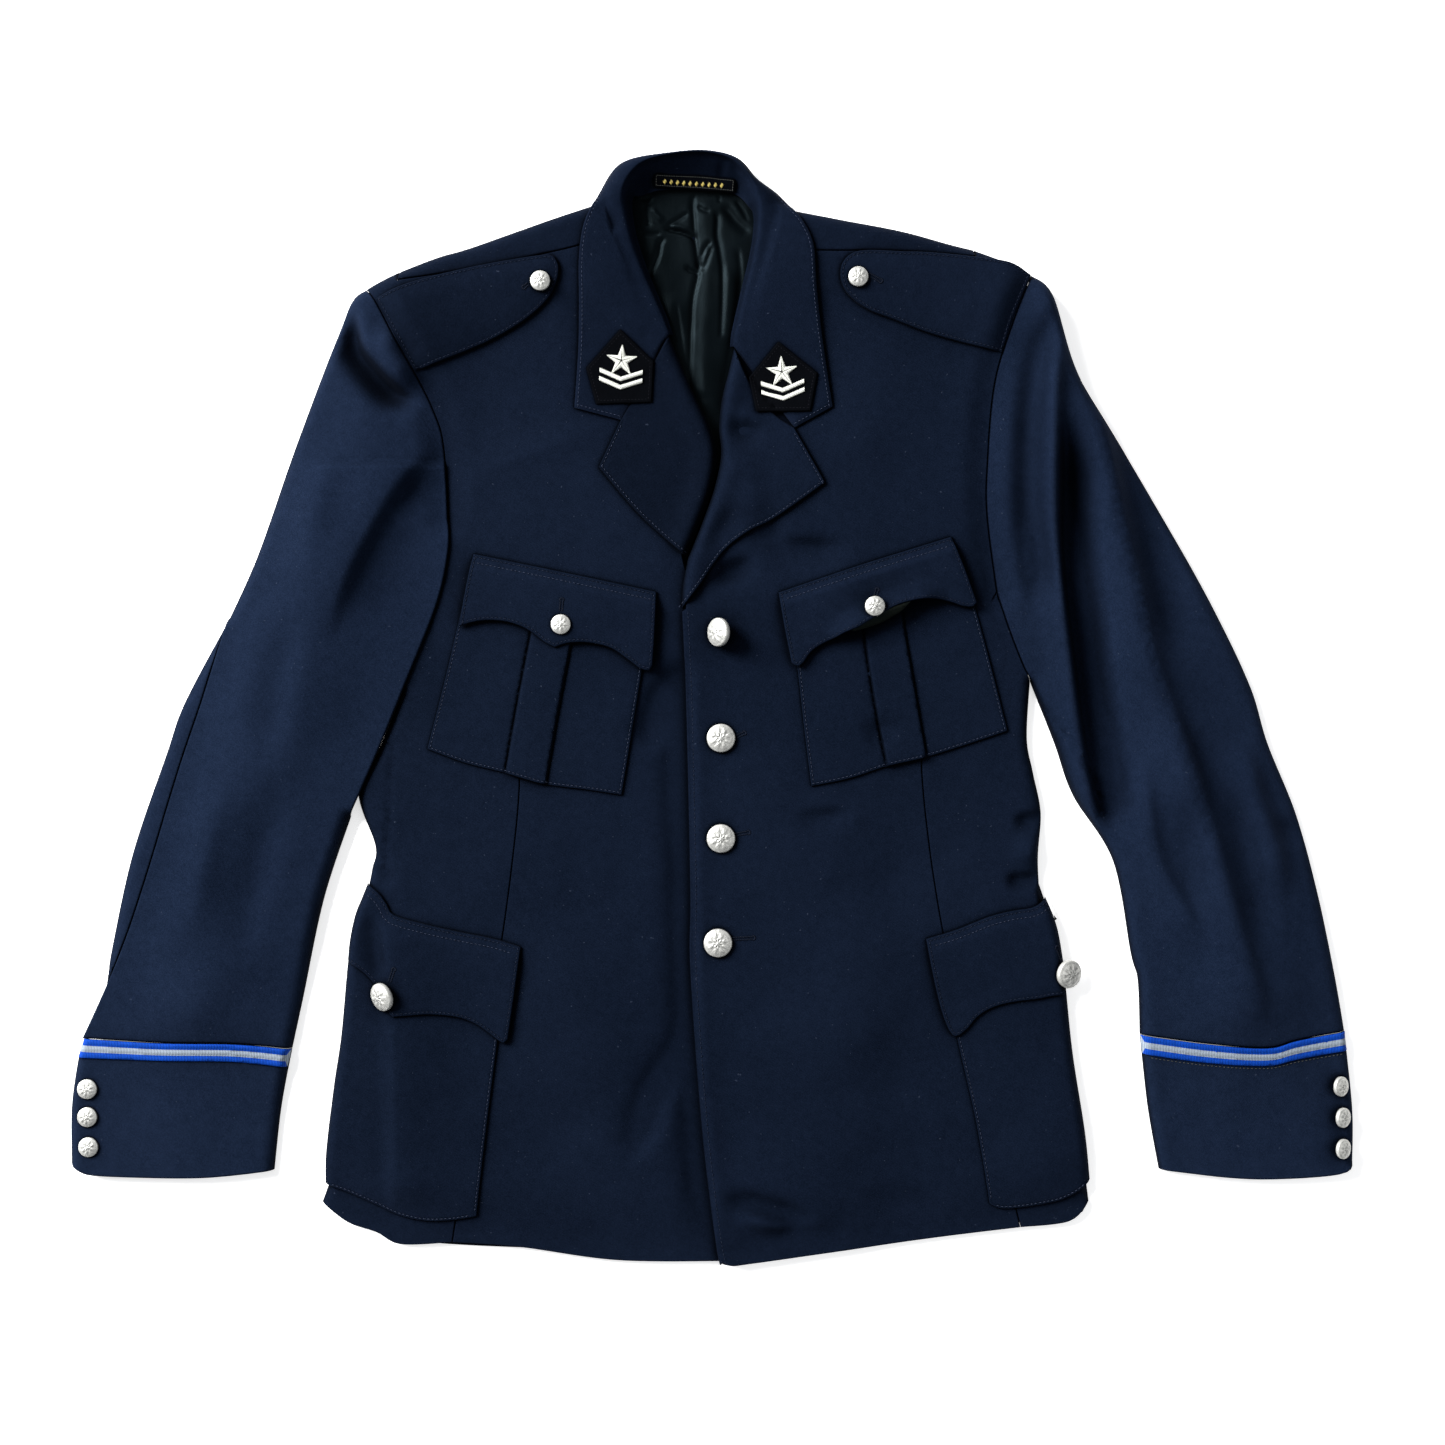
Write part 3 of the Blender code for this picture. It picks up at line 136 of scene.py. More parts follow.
BACK_TIP_RIGHT = [(400, 272), (400, 275), (378, 285), (365.5, 290)]
BACK_TIP_LEFT = [(974, 250), (974, 254), (1016, 268.5), (1031.5, 275)]

BRAID_RIGHT_LOWER = [(77, 1057), (155, 1060), (232, 1061), (287, 1067)]
BRAID_LEFT_LOWER = [(1348, 1050), (1295, 1059), (1265, 1065), (1204, 1062), (1143, 1054)]
PATCH_RIGHT = [(621, 332), (654, 363), (652, 404), (597, 406), (587, 370)]
PATCH_LEFT = [(778, 344), (817, 375), (810, 413), (756, 413), (749, 379)]

LAPEL_TURN = [(684, 563)]
CENTRE_BACK_SEAM = [(705, 190), (708, 420), (710, 800), (716, 1250)]
SIDE_SEAM_BACK_RIGHT = [(392, 745), (390, 800), (386, 846), (384, 868)]
SLEEVE_SEAM_LEFT = [(1080, 382), (1098, 437), (1118, 528), (1132, 586), (1146, 653), (1180, 754), (1206, 838)]
SLEEVE_UNDER_SEAM_LEFT = [(1040, 702), (1056, 724), (1072, 742), (1090, 772), (1104, 812)]
LABEL_EDGE = ([(655, 177), (700, 178), (735, 182)], [(735, 182), (734, 194)],
              [(734, 194), (700, 191), (655, 189)],
              [(655, 189), (655, 177)])
PLEAT_LINES_RIGHT = ([(506, 774), (519, 700), (534, 622), (536, 608)],
                     [(546, 785), (558, 715), (572, 640), (575, 616)])
PLEAT_LINES_LEFT = ([(887, 768), (874, 700), (862, 625), (860, 612)],
                    [(926, 758), (914, 690), (901, 615), (899, 600)])
CURL_LINE_POINTS = [(826, 646), (845, 634), (868, 620), (892, 609), (921, 601), (948, 603)]
CURL_RISE = 8.0
LEFT_LAPEL_FOLDS = (
    ("lapel hollow a", ((720, 424), (742, 432), (768, 428)), -1.6, 8, 9, 16),
    ("lapel hollow b", ((736, 412), (750, 418), (764, 430)), 0.8, 5, 6, 10),
    ("lapel swell", ((730, 450), (748, 480), (752, 520)), 1.2, 12, 16, 20),
    ("lapel fold c", ((708, 560), (722, 530), (744, 505)), -0.8, 8, 10, 20),
)
BODY_LOFT = 3.6
ARMHOLE_PULL = 20.0
HEM_PULL = 45.0
SLEEVE_LOFT = 5.6
SLEEVE_ROUND = 42.0
SLEEVE_MIDDLES = ([(392, 330), (345, 500), (300, 660), (250, 820), (205, 1000)],
                  [(1042, 330), (1085, 480), (1130, 640), (1190, 800), (1240, 1000)])
COLLAR_FOLDS = (
    ("by the label", ((724, 163), (722, 174), (721, 184)), -1.6, 2.0, 3.0, 5),
    ("beside it", ((733, 167), (738, 178), (741, 191)), -1.5, 1.8, 3.4, 5),
    ("dent right", ((592, 216), (606, 222), (618, 238)), -2.2, 6, 5, 8),
    ("dent left", ((768, 196), (788, 214), (800, 240)), -1.4, 5, 7, 10),
)
COLLAR_FINE = 8
COLLAR_IN = 7
COLLAR_OUT = 34
PLEAT_TOP = 1.9
DART_END_RIGHT = [(420, 592), (440, 576), (454, 582), (472, 612), (482, 650), (480, 682), (455, 665),
                  (430, 640)]
DART_END_LEFT = [(989, 560), (994, 590), (1003, 622), (1013, 655), (1000, 690), (985, 662), (966, 630),
                 (962, 592),
                 (972, 562)]
CURL_UNDERSIDE = ([(846, 629), (857, 621), (868, 614.5), (881, 609), (896, 604.5), (910, 601)],
                  [(910, 601), (901, 611), (890, 618), (879, 624), (863, 629.5), (852, 632), (846, 629)])
STAR_R = 12.2
STAR_DIP = 0.42
BUTTON_SINK = 0.6
BUTTON_SHARE = 0.478
UNDER_THE_SLEEVE = [(438, 603), (405, 687), (384, 738)]
TWILL_PITCH = 0.00085

# Colours, linear
NAVY_DARK = (0.0013, 0.0028, 0.0070, 1.0)
NAVY_LIGHT = (0.0050, 0.0088, 0.0200, 1.0)
NAVY_WORN = (0.010, 0.015, 0.032, 1.0)
# Painted shade of the twill: the colour it takes deep in crevices and fold hollows
NAVY_PAINTED_SHADE = (0.0002, 0.0004, 0.0010, 1.0)
LINT = (0.035, 0.045, 0.07, 1.0)
LINING_DARK = (0.0005, 0.0009, 0.0012, 1.0)
LINING_LIGHT = (0.0014, 0.0023, 0.0031, 1.0)
SILVER_LIGHT = (0.56, 0.56, 0.53, 1.0)
SILVER_DARK = (0.09, 0.09, 0.085, 1.0)
FLOOR_A = (0.86, 0.86, 0.86, 1.0)
FLOOR_B = (0.89, 0.89, 0.89, 1.0)
# Painted shade of the satin: the colour it takes deep in its creases
SATIN_PAINTED_SHADE = (0.0002, 0.0003, 0.0004, 1.0)
FACING_DARK = (0.0022, 0.0028, 0.0020, 1.0)
FACING_LIGHT = (0.0055, 0.0065, 0.0046, 1.0)
FELT_DARK = (0.0003, 0.0004, 0.0008, 1.0)
FELT_LIGHT = (0.0018, 0.0022, 0.0032, 1.0)
SKY = (0.95, 0.97, 1.0, 1.0)
FLOOR_GLOW = 0.55

# Twill of each cut: name, way of its ribs in degrees, and shade: a painted lightness factor that stands in for how
# the light falls on each piece
CUTS = {
    "body": ("navy twill body", 28.0, 0.85),
    "sleeve right": ("navy twill right sleeve", 8.0, 1.36),
    "sleeve left": ("navy twill left sleeve", 50.0, 1.45),
    "collar": ("navy twill collar", 62.0, 0.75),
    "lapel right": ("navy twill right lapel", -20.0, 0.53),
    "lapel left": ("navy twill left lapel", 75.0, 0.78),
    "strap right": ("navy twill right strap", 100.0, 0.70),
    "strap left": ("navy twill left strap", 120.0, 0.74),
}

# Threads and braids: dark and light colour, turn in degrees, pitch in m, and roughness and shine where they differ
BLUE = ((0.000, 0.014, 0.110, 1.0), (0.001, 0.050, 0.370, 1.0))
GREY_BLUE = ((0.12, 0.145, 0.18, 1.0), (0.25, 0.29, 0.34, 1.0))
THREADS = {
    "silver thread": ((0.45, 0.46, 0.42, 1.0), (0.72, 0.73, 0.67, 1.0), 30.0, 0.0009, 0.42, 0.5),
    "navy thread": ((0.018, 0.025, 0.048, 1.0), (0.040, 0.050, 0.084, 1.0), 45.0, 0.0008),
    "dark thread": ((0.008, 0.012, 0.026, 1.0), (0.016, 0.023, 0.044, 1.0), 45.0, 0.0008),
    "buttonhole thread": ((0.002, 0.004, 0.010, 1.0), (0.006, 0.009, 0.019, 1.0), 45.0, 0.0008),
    "gold thread": ((0.35, 0.27, 0.05, 1.0), (0.62, 0.50, 0.14, 1.0), 30.0, 0.0008, 0.4, 0.5),
    "grey thread": ((0.030, 0.032, 0.030, 1.0), (0.080, 0.082, 0.074, 1.0), 45.0, 0.0008, 0.7, 0.1),
    "black thread": ((0.002, 0.002, 0.004, 1.0), (0.008, 0.008, 0.012, 1.0), 45.0, 0.0008),
    "blue braid right": BLUE + (2.0, 0.0011),
    "blue braid left": BLUE + (-2.0, 0.0011),
    "silver braid right": GREY_BLUE + (2.0, 0.0011),
    "silver braid left": GREY_BLUE + (-2.0, 0.0011),
}

# Soft ridges of the upper cloth: name, from x, from y, to x, to y, height in mm, half width in mm
RIDGES = (
    ("shoulder right", 590, 235, 380, 300, 8.0, 60.0),
    ("shoulder left", 800, 240, 1018, 292, 8.0, 60.0),
    ("sleeve head right", 372, 320, 400, 400, 3.0, 45.0),
    ("sleeve head left", 1030, 310, 1015, 470, 3.0, 45.0),
    ("upper sleeve right", 345, 430, 290, 640, 4.0, 50.0),
    ("forearm right", 270, 700, 190, 980, 3.5, 45.0),
    ("crease right", 430, 445, 352, 572, 2.0, 22.0),
    ("upper sleeve left", 1085, 420, 1140, 640, 4.5, 40.0),
    ("forearm left", 1165, 700, 1250, 980, 3.5, 45.0),
    ("chest right", 560, 480, 560, 720, 1.6, 60.0),
    ("chest left", 870, 480, 880, 720, 1.6, 60.0),
    ("hip right", 430, 1000, 420, 1180, 2.0, 45.0),
    ("hip left", 1010, 1000, 1030, 1160, 2.0, 45.0),
    ("front fall", 800, 900, 790, 1180, 1.4, 50.0),
)

# Collar stations from the right gorge round the neck: seam, fold and outer edge, each x, y and height in mm
COLLAR = (
    ((673, 335, 6.0), (669, 336, 12.5), (621, 421, 9.0)),
    ((668, 320, 6.0), (662, 319, 13.5), (575, 409, 9.0)),
    ((661, 303, 6.0), (655, 303, 14.5), (579, 350, 9.5)),
    ((651, 279, 6.0), (645, 281, 16.0), (580, 305, 10.0)),
    ((640, 248, 6.0), (633, 251, 18.0), (580, 264, 11.0)),
    ((634, 222, 6.0), (626, 223, 20.0), (584, 232, 12.0)),
    ((633, 200, 6.0), (623, 200, 22.0), (594, 207, 8.0)),
    ((641, 197, 7.0), (630, 183, 24.0), (611, 173, 3.0)),
    ((656, 192, 7.0), (646, 169, 26.0), (628, 161, 2.0)),
    ((676, 190, 7.0), (672, 162, 27.0), (668, 156, 1.5)),
    ((700, 191, 7.0), (703, 160, 27.0), (708, 153.5, 1.5)),
    ((721, 192, 7.0), (729, 166, 26.0), (740, 161, 2.0)),
    ((737, 196, 7.0), (747, 181, 24.0), (758, 181, 3.0)),
    ((748, 207, 7.0), (757, 199, 22.0), (776, 194, 8.0)),
    ((753, 215, 6.0), (760, 215, 20.0), (792, 212, 12.0)),
    ((753, 233, 6.0), (759, 235, 18.0), (804, 228, 11.5)),
    ((749, 258, 6.0), (755, 261, 17.0), (813, 250, 11.0)),
    ((742, 287, 6.0), (748, 289, 15.5), (816, 290, 10.0)),
    ((735, 317, 6.0), (741, 319, 14.0), (822, 341, 9.5)),
    ((731, 335, 6.0), (736, 337, 13.0), (832, 408, 9.0)),
    ((730, 347, 6.0), (734, 348, 12.5), (794, 429, 9.0)),
)
# Buttons: name, x, y, size, lean in degrees, direction of the lean in degrees
BUTTONS = (
    ("button_front_1", 721.5, 633, BIG_BUTTON, 47, 180),
    ("button_front_2", 721, 738, BIG_BUTTON, 0, 0),
    ("button_front_3", 721, 838, BIG_BUTTON, 0, 0),
    ("button_front_4", 718, 942, BIG_BUTTON, 0, 0),
    ("button_chest_right", 562, 625, SMALL_BUTTON, 0, 0),
    ("button_chest_left", 873, 607.5, SMALL_BUTTON, 0, 0),
    ("button_hip_right", 387, 994, BIG_BUTTON, 42, 200),
    ("button_hip_left", 1066, 973, BIG_BUTTON, 30, 350),
    ("button_strap_right", 542, 285, SMALL_BUTTON, 0, 0),
    ("button_strap_left", 857, 281, SMALL_BUTTON, 0, 0),
    ("button_cuff_right_1", 89, 1088, SMALL_BUTTON, 0, 0),
    ("button_cuff_right_2", 89, 1116, SMALL_BUTTON, 0, 0),
    ("button_cuff_right_3", 90, 1146, SMALL_BUTTON, 0, 0),
    ("button_cuff_left_1", 1337, 1085, SMALL_BUTTON, 35, 0),
    ("button_cuff_left_2", 1339, 1116, SMALL_BUTTON, 35, 0),
    ("button_cuff_left_3", 1339, 1147, SMALL_BUTTON, 35, 0),
)

# Buttonholes: from x, y to x, y, where they show beyond their buttons
BUTTONHOLES = (
    (736, 737, 744, 733),
    (736, 834, 748, 832),
    (732, 938, 753, 937),
    (562, 612, 563, 601),
    (874, 597, 876, 591),
    (392, 980, 396, 968),
    (1062, 962, 1056, 947),
    (868, 279, 879, 285),
    (530, 288, 526, 291),
)

# Camera and lights, in metres: name, place, aim, size, power
CAMERA_LENS = 50.0
CAMERA_SENSOR = 36.0
FRAME_MIDDLE = 722.5
CLOTH_LEVEL = 0.006
FLOOR_HALF = 4.0
FLOOR_LEVEL = -0.0004
WORLD_STRENGTH = 0.31
LIGHTS = (
    ("key", (-3.0, 1.9, 2.0), (0.0, 0.0, 0.0), 1.8, 600.0),
    ("fill", (1.7, -0.5, 1.9), (0.0, 0.0, 0.0), 2.0, 14.0),
)

# Scalloped edges of the flaps, finer than in the solids
CHEST_FLAP_RIGHT = (
    [(474, 554), (566, 573), (657, 592)],
    [(657, 592), (655, 636), (653, 666)],
    [(653, 666), (650, 671), (641, 669), (630, 661), (616, 651), (604, 646), (585, 643), (568, 644),
     (556, 648)],
    [(556, 648), (546, 643), (530, 631), (514, 624), (496, 621), (478, 622), (460, 627)],
    [(460, 627), (466, 592), (474, 554)],
)
CHEST_FLAP_LEFT = (
    [(778, 593), (864, 564), (950.6, 537)],
    [(950.6, 537), (964, 570), (976, 603)],
    [(976, 603), (972, 607.5), (962, 607), (950, 603), (936, 600), (921, 600), (906, 603), (892, 608),
     (874, 618),
     (856, 629)],
    [(856, 629), (845, 633), (834, 639), (823, 644), (811, 652), (803, 663), (797, 667), (791, 663)],
    [(791, 663), (784, 628), (778, 593)],
)
HIP_FLAP_RIGHT = (
    [(367, 883), (380, 893), (388, 904), (395, 914), (425, 923), (460, 931), (495, 938), (522, 946)],
    [(522, 946), (516, 990), (509, 1038)],
    [(509, 1038), (505, 1042), (499, 1039), (490, 1032), (480, 1025), (468, 1019), (452, 1015), (430, 1013),
     (410, 1014), (395, 1015)],
    [(395, 1015), (386, 1005), (380, 990), (366, 973), (347, 960)],
    [(347, 960), (349, 940), (354, 916), (361, 898), (367, 883)],
)
HIP_FLAP_LEFT = (
    [(925, 938), (955, 929), (988, 916), (1012, 910), (1031, 907), (1040, 902), (1046, 897)],
    [(1046, 897), (1053, 913), (1059, 932), (1064, 962), (1067, 994)],
    [(1067, 994), (1052, 995), (1036, 998), (1018, 1000), (1002, 1003), (988, 1008), (976, 1016), (967, 1027),
     (959, 1034)],
    [(959, 1034), (954, 1035.5), (948, 1029), (940, 1008), (932, 975), (925, 938)],
)
CHEST_POCKET_RIGHT = (
    [(468, 584), (560, 602), (650, 618)],
    [(650, 618), (642, 672), (622, 795)],
    [(622, 795), (590, 790), (545, 784), (506, 773), (466, 763), (428, 749)],
    [(428, 749), (443, 690), (458, 627), (468, 584)],
)
CHEST_POCKET_LEFT = (
    [(964, 572), (978, 620), (992, 672), (1007, 731)],
    [(1007, 731), (968, 744), (926, 757), (887, 766), (850, 778), (811, 786)],
    [(811, 786), (804, 730), (797, 668), (790, 622)],
    [(790, 622), (877, 597), (964, 572)],
)
HIP_POCKET_RIGHT_REST = (
    [(324, 1184), (350, 1193), (376, 1204), (398, 1214), (424, 1220), (450, 1220), (477, 1216)],
    [(477, 1216), (487, 1130), (498, 1043), (508, 962)],
    [(508, 962), (450, 950), (395, 938), (358, 926), (354, 916)],
)
HIP_POCKET_LEFT_REST = (
    [(1091, 1180), (1078, 1191), (1062, 1199), (1046, 1203), (1020, 1207), (1000, 1208), (989, 1203)],
    [(989, 1203), (975, 1120), (956, 1036), (938, 955)],
    [(938, 955), (995, 938), (1052, 924), (1055, 916)],
)
STRAP_RIGHT = (
    [(378, 302), (410, 288), (438, 279), (462, 273), (486, 268), (520, 262), (549, 258)],
    [(549, 258), (555, 260), (560, 268), (560, 279), (555, 293), (544, 308), (522, 326), (496, 341),
     (470, 353),
     (443, 364), (417, 375)],
    [(417, 375), (398, 338), (378, 302)],
)
STRAP_LEFT = (
    [(1029, 278), (1010.5, 322), (1001, 355.5)],
    [(1001, 355.5), (964, 346), (926, 335), (892, 322), (870, 314), (854, 304), (843, 292), (839, 279),
     (841, 267),
     (851, 257), (868, 254), (900, 255), (930, 256), (970, 260), (1007, 266), (1029, 278)],
)
LINING_EDGE = (
    [(624, 190), (655, 179), (735, 181), (760, 192), (764, 240), (757, 300), (742, 350), (728, 410),
     (722, 470)],
    [(722, 470), (700, 470)],
    [(700, 470), (680, 400), (652, 330), (626, 260), (624, 190)],
)

# Folds of the upper cloth: name, plan points, rise in mm, width to the left of the way, to the right, taper
# Going down the plan, the left of the way is the sheet's right side. All widths are in mm.
FOLDS = (
    ("sleeve head dip right", ((354, 300), (357, 346), (371, 370), (395, 394), (426, 410)), -15.0, 5, 12, 30),
    ("sleeve head roll right", ((384, 325), (398, 360), (420, 392)), 7.5, 9, 9, 20),
    ("diagonal crease right", ((440, 436), (405, 476), (376, 524), (352, 572), (322, 650)), 6.5, 6, 38, 70),
    ("under the crease right", ((437, 455), (420, 486), (398, 520)), -5.0, 16, 7, 30),
    ("sleeve streak a", ((330, 430), (316, 520), (300, 600)), 5.0, 14, 20, 60),
    ("sleeve streak b", ((300, 600), (280, 690), (262, 780)), -4.6, 12, 16, 50),
    ("sleeve streak c", ((230, 760), (210, 850), (186, 960)), 4.4, 12, 18, 60),
    ("sleeve streak d", ((290, 760), (262, 860), (236, 980)), -4.0, 14, 18, 60),
    ("cuff roll right", ((140, 1000), (200, 1010), (250, 1010)), 2.0, 16, 16, 40),
    ("sleeve head dip left", ((1048, 300), (1040, 350), (1034, 420), (1034, 500), (1042, 560), (1054, 620)),
     -9.0, 9, 16, 40),
    ("crest beside the fold", ((1056, 320), (1050, 400), (1049, 500), (1055, 560), (1066, 640), (1078, 720),
                               (1094, 800), (1110, 850)), 8.5, 6, 12, 50),
    ("deep fold left",
     ((1064, 400), (1066, 480), (1068, 560), (1076, 640), (1086, 720), (1098, 790), (1110, 850)),
     -15.0, 20, 5, 60),
    ("sleeve seam crest left", ((1080, 385), (1098, 437), (1118, 528), (1132, 586), (1146, 653), (1180, 754),
                                (1206, 830)), 5.9, 7, 26, 50),
    ("beside the seam left", ((1098, 395), (1122, 450), (1146, 530), (1166, 610), (1184, 680)), -5.9, 16, 10,
     50),
    ("forearm crest a", ((1158, 690), (1194, 796), (1216, 868), (1233, 930), (1252, 998), (1258, 1040)),
     5.3, 8, 24, 50),
    ("forearm crest b", ((1136, 750), (1150, 850), (1176, 905), (1200, 955)), 5.6, 8, 16, 40),
    ("forearm crest c", ((1238, 730), (1252, 790), (1270, 840), (1284, 905)), 5.6, 8, 18, 40),
    ("forearm hollow a", ((1176, 790), (1192, 860), (1204, 920)), -4.2, 9, 12, 40),
    ("forearm hollow b", ((1222, 760), (1240, 830), (1256, 900), (1268, 960)), -4.2, 9, 12, 50),
    ("elbow pull left", ((1262, 820), (1290, 830), (1308, 850)), -2.5, 6, 8, 20),
    ("beside the closing", ((684, 640), (686, 780), (688, 900), (692, 1050), (704, 1180), (716, 1256)),
     -6.0, 5, 14, 60),
    ("pull to the button", ((692, 655), (668, 700), (640, 762)), -8.5, 8, 12, 40),
    ("pull below the waist", ((694, 1030), (662, 1085), (644, 1130), (622, 1172)), -8.0, 8, 14, 50),
    ("lapel hollow left", ((762, 500), (770, 530), (770, 570)), -4.2, 10, 16, 30),
    ("flat fold chest left", ((762, 545), (800, 547), (856, 549)), -4.8, 6, 14, 30),
    ("flat fold waist left", ((790, 818), (825, 816), (856, 812)), -3.0, 5, 10, 20),
    ("under the first button", ((704, 585), (724, 574), (760, 560)), -6.5, 6, 9, 20),
    ("hip ridge right", ((384, 905), (388, 940), (392, 975), (396, 1030), (398, 1120), (398, 1216)),
     4.8, 30, 7, 30),
    ("hip hollow right", ((374, 905), (380, 950), (384, 990)), -3.5, 6, 10, 20),
    ("waist nick a", ((1012, 822), (1028, 820), (1046, 814)), -6.0, 4, 6, 10),
    ("waist swell", ((1031, 832), (1030, 868)), 3.5, 10, 10, 12),
    ("waist nick b", ((1004, 879), (1022, 880), (1042, 876)), -6.0, 4, 6, 10),
    ("waist nick c", ((376, 846), (384, 868), (392, 888)), -3.0, 5, 7, 10),
    ("hem wave a", ((716, 1196), (760, 1206), (820, 1222)), -6.0, 8, 7, 30),
    ("hem wave b", ((732, 1214), (770, 1222), (800, 1238)), 4.5, 7, 7, 20),
    ("hem wave c", ((760, 1226), (800, 1238), (850, 1244)), -5.0, 7, 6, 20),
    ("hem wave d", ((860, 1190), (900, 1200), (950, 1204)), -2.0, 12, 10, 30),
    ("chest swell right", ((520, 430), (540, 480)), 3.0, 50, 50, 40),
    ("pocket hollow left", ((858, 735), (880, 730), (905, 735)), -3.2, 8, 12, 20),
    ("skirt swell left", ((850, 880), (860, 980), (865, 1100)), 5.0, 40, 50, 60),
    ("skirt swell right", ((560, 900), (570, 1000), (575, 1130)), 4.5, 45, 45, 60),
)

# Creases of the neck lining, named in the same way
LINING_FOLDS = (
    ("pleat",
     ((694, 193), (693.5, 206), (694.5, 218), (695.5, 235), (698, 256), (699, 272), (694, 296), (692, 320),
               (690, 381), (688, 440)), -2.2, 0.9, 2.6, 3),
    ("pleat band", ((705, 194), (706, 220), (708, 240), (709, 275), (706, 330), (704, 400)), 1.3, 8, 6, 8),
    ("pleat far side", ((716, 208), (716.5, 220), (716, 235), (719, 250), (722, 280), (720, 340)), -1.6, 2.8,
     1.2, 6),
    ("band crease", ((696, 209), (700, 207), (704, 210), (711, 211)), -1.2, 1.2, 1.8, 3),
    ("band slant", ((712, 240), (706, 248), (702, 257), (700, 270)), -1.8, 1.0, 2.2, 4),
    ("slant a", ((644, 202), (647, 214), (650, 227)), -1.5, 1.0, 2.4, 4),
    ("slant b", ((651, 206), (656, 214), (664, 222)), 1.2, 1.8, 1.8, 4),
    ("slant c", ((666, 225), (677, 219), (689, 211)), -1.3, 0.9, 2.0, 4),
    ("deep slant", ((663, 228), (670, 230), (680, 232), (688, 235), (697, 241)), -2.4, 2.6, 0.9, 5),
    ("ridge over it", ((668, 226), (680, 227.5), (690, 231)), 1.3, 2.0, 1.6, 5),
    ("slant e", ((665, 236), (661, 243), (659, 255), (651, 273), (646, 286)), -1.9, 1.0, 2.4, 5),
    ("level crease", ((638, 232), (650, 234), (662, 234)), -1.2, 1.6, 0.9, 4),
    ("star right", ((700, 272), (706, 262), (712, 244)), -1.4, 1.0, 2.0, 4),
    ("star left", ((684, 266), (690, 271), (699, 273)), -1.8, 1.8, 0.9, 3),
    ("far hollow", ((722, 203), (730, 212), (736, 220), (744, 227), (751, 235)), -2.2, 3.0, 4.0, 6),
    ("far line", ((735, 197), (743, 209), (749, 222)), -1.4, 0.9, 1.8, 4),
    ("far ridge", ((733, 193), (745, 201), (758, 210)), 1.3, 1.6, 1.6, 4),
    ("top hollow", ((638, 197), (646, 199), (654, 196)), -1.8, 2.4, 1.6, 4),
    ("top line", ((719, 192), (719.5, 203)), -1.4, 0.9, 1.2, 2),
    ("long swell a", ((668, 290), (672, 340), (682, 390)), 1.4, 6, 9, 16),
    ("long swell b", ((728, 262), (732, 300), (726, 350), (714, 420)), 1.6, 5, 8, 16),
    ("long line", ((738, 244), (741, 280), (734, 330), (722, 390)), -1.4, 1.2, 2.6, 8),
    ("low line", ((676, 300), (682, 340), (688, 372)), -1.0, 1.0, 2.2, 8),
)

# Stitches: length, step and width in mm
STITCH = (2.3, 3.1, 0.42)
LABEL_STITCH = (1.6, 1.7, 0.45)
BRAID_STITCH = (2.0, 2.9, 0.5)
PATCH_STITCH = (1.9, 2.5, 0.4)
GROOVE = (0.28, 0.55)
GROOVE_RIM = (0.16, 0.6)

# How far the rows of stitches lie in from their edges, in mm
LAPEL_STITCH_IN = 2.2
COLLAR_STITCH_IN = 2.4
FRONT_STITCH_IN = 4.4
EDGE_STITCH_IN = 2.0
POCKET_STITCH_IN = 1.8
SEWN_STITCH_IN = 6.4
LABEL_STITCH_IN = 1.2
BRAID_STITCH_IN = 1.7
PATCH_STITCH_IN = 2.4

# The label's row of diamonds, and the rounding of a sheet's rim, in mm
LABEL_MIDDLE = [(662, 184), (728, 188)]
DIAMOND_STEP = 4.6
DIAMOND = ((-1.5, 0), (0, 2.1), (1.5, 0), (0, -2.1))
RIM_ROUND = 1.3

# Relief of a button: height in mm, petals, turn, twist, middle and width as shares of the radius
BUTTON_SIDES = 72
BUTTON_RINGS = 22
BUTTON_RELIEF = (
    (0.45, 8, 0.0, 0.0, 0.52, 0.20),
    (0.39, 8, math.pi, 0.0, 0.25, 0.12),
    (0.21, 36, 0.0, 0.0, 0.86, 0.045),
    (0.60, 0, 0.0, 0.0, 0.0, 0.11),
    (0.51, 0, 0.0, 0.0, 0.965, 0.03),
    (-0.408, 0, 0.0, 0.0, 0.79, 0.022),
    (0.24, 24, 0.0, 6.0, 0.62, 0.16),
)
BUTTON_UNDER = ((1.0, 0.26), (0.97, 0.14), (0.86, 0.08), (0.30, 0.05), (0.27, -0.25), (0.0, -0.25))


def ease(value):
    value = np.clip(value, 0.0, 1.0)
    return value * value * (3.0 - 2.0 * value)


def hill(far, width):
    """A soft hill, 1 high in its middle."""
    return np.exp(-(far / width) ** 2)


def rounded(far, radius):
    """0 at the rim, rising to 1 at the radius as a quarter of a circle does."""
    return np.sqrt(np.maximum(0.0, 1.0 - (1.0 - np.minimum(far / radius, 1.0)) ** 2))


def place(points):
    """Plan points in millimetres from the middle of the jacket, y up."""
    spots = np.atleast_2d(np.asarray(points, float))
    return np.column_stack(((spots[:, 0] - PLAN_CENTRE[0]) * PLAN_UNIT,
                            (PLAN_CENTRE[1] - spots[:, 1]) * PLAN_UNIT))


def cubic(a, b, c, d, t):
    """The soft curve from b to c, with a before them and d after them."""
    return 0.5 * (2 * b + (c - a) * t + (2 * a - 5 * b + 4 * c - d) * t ** 2
                  + (3 * b - a - 3 * c + d) * t ** 3)


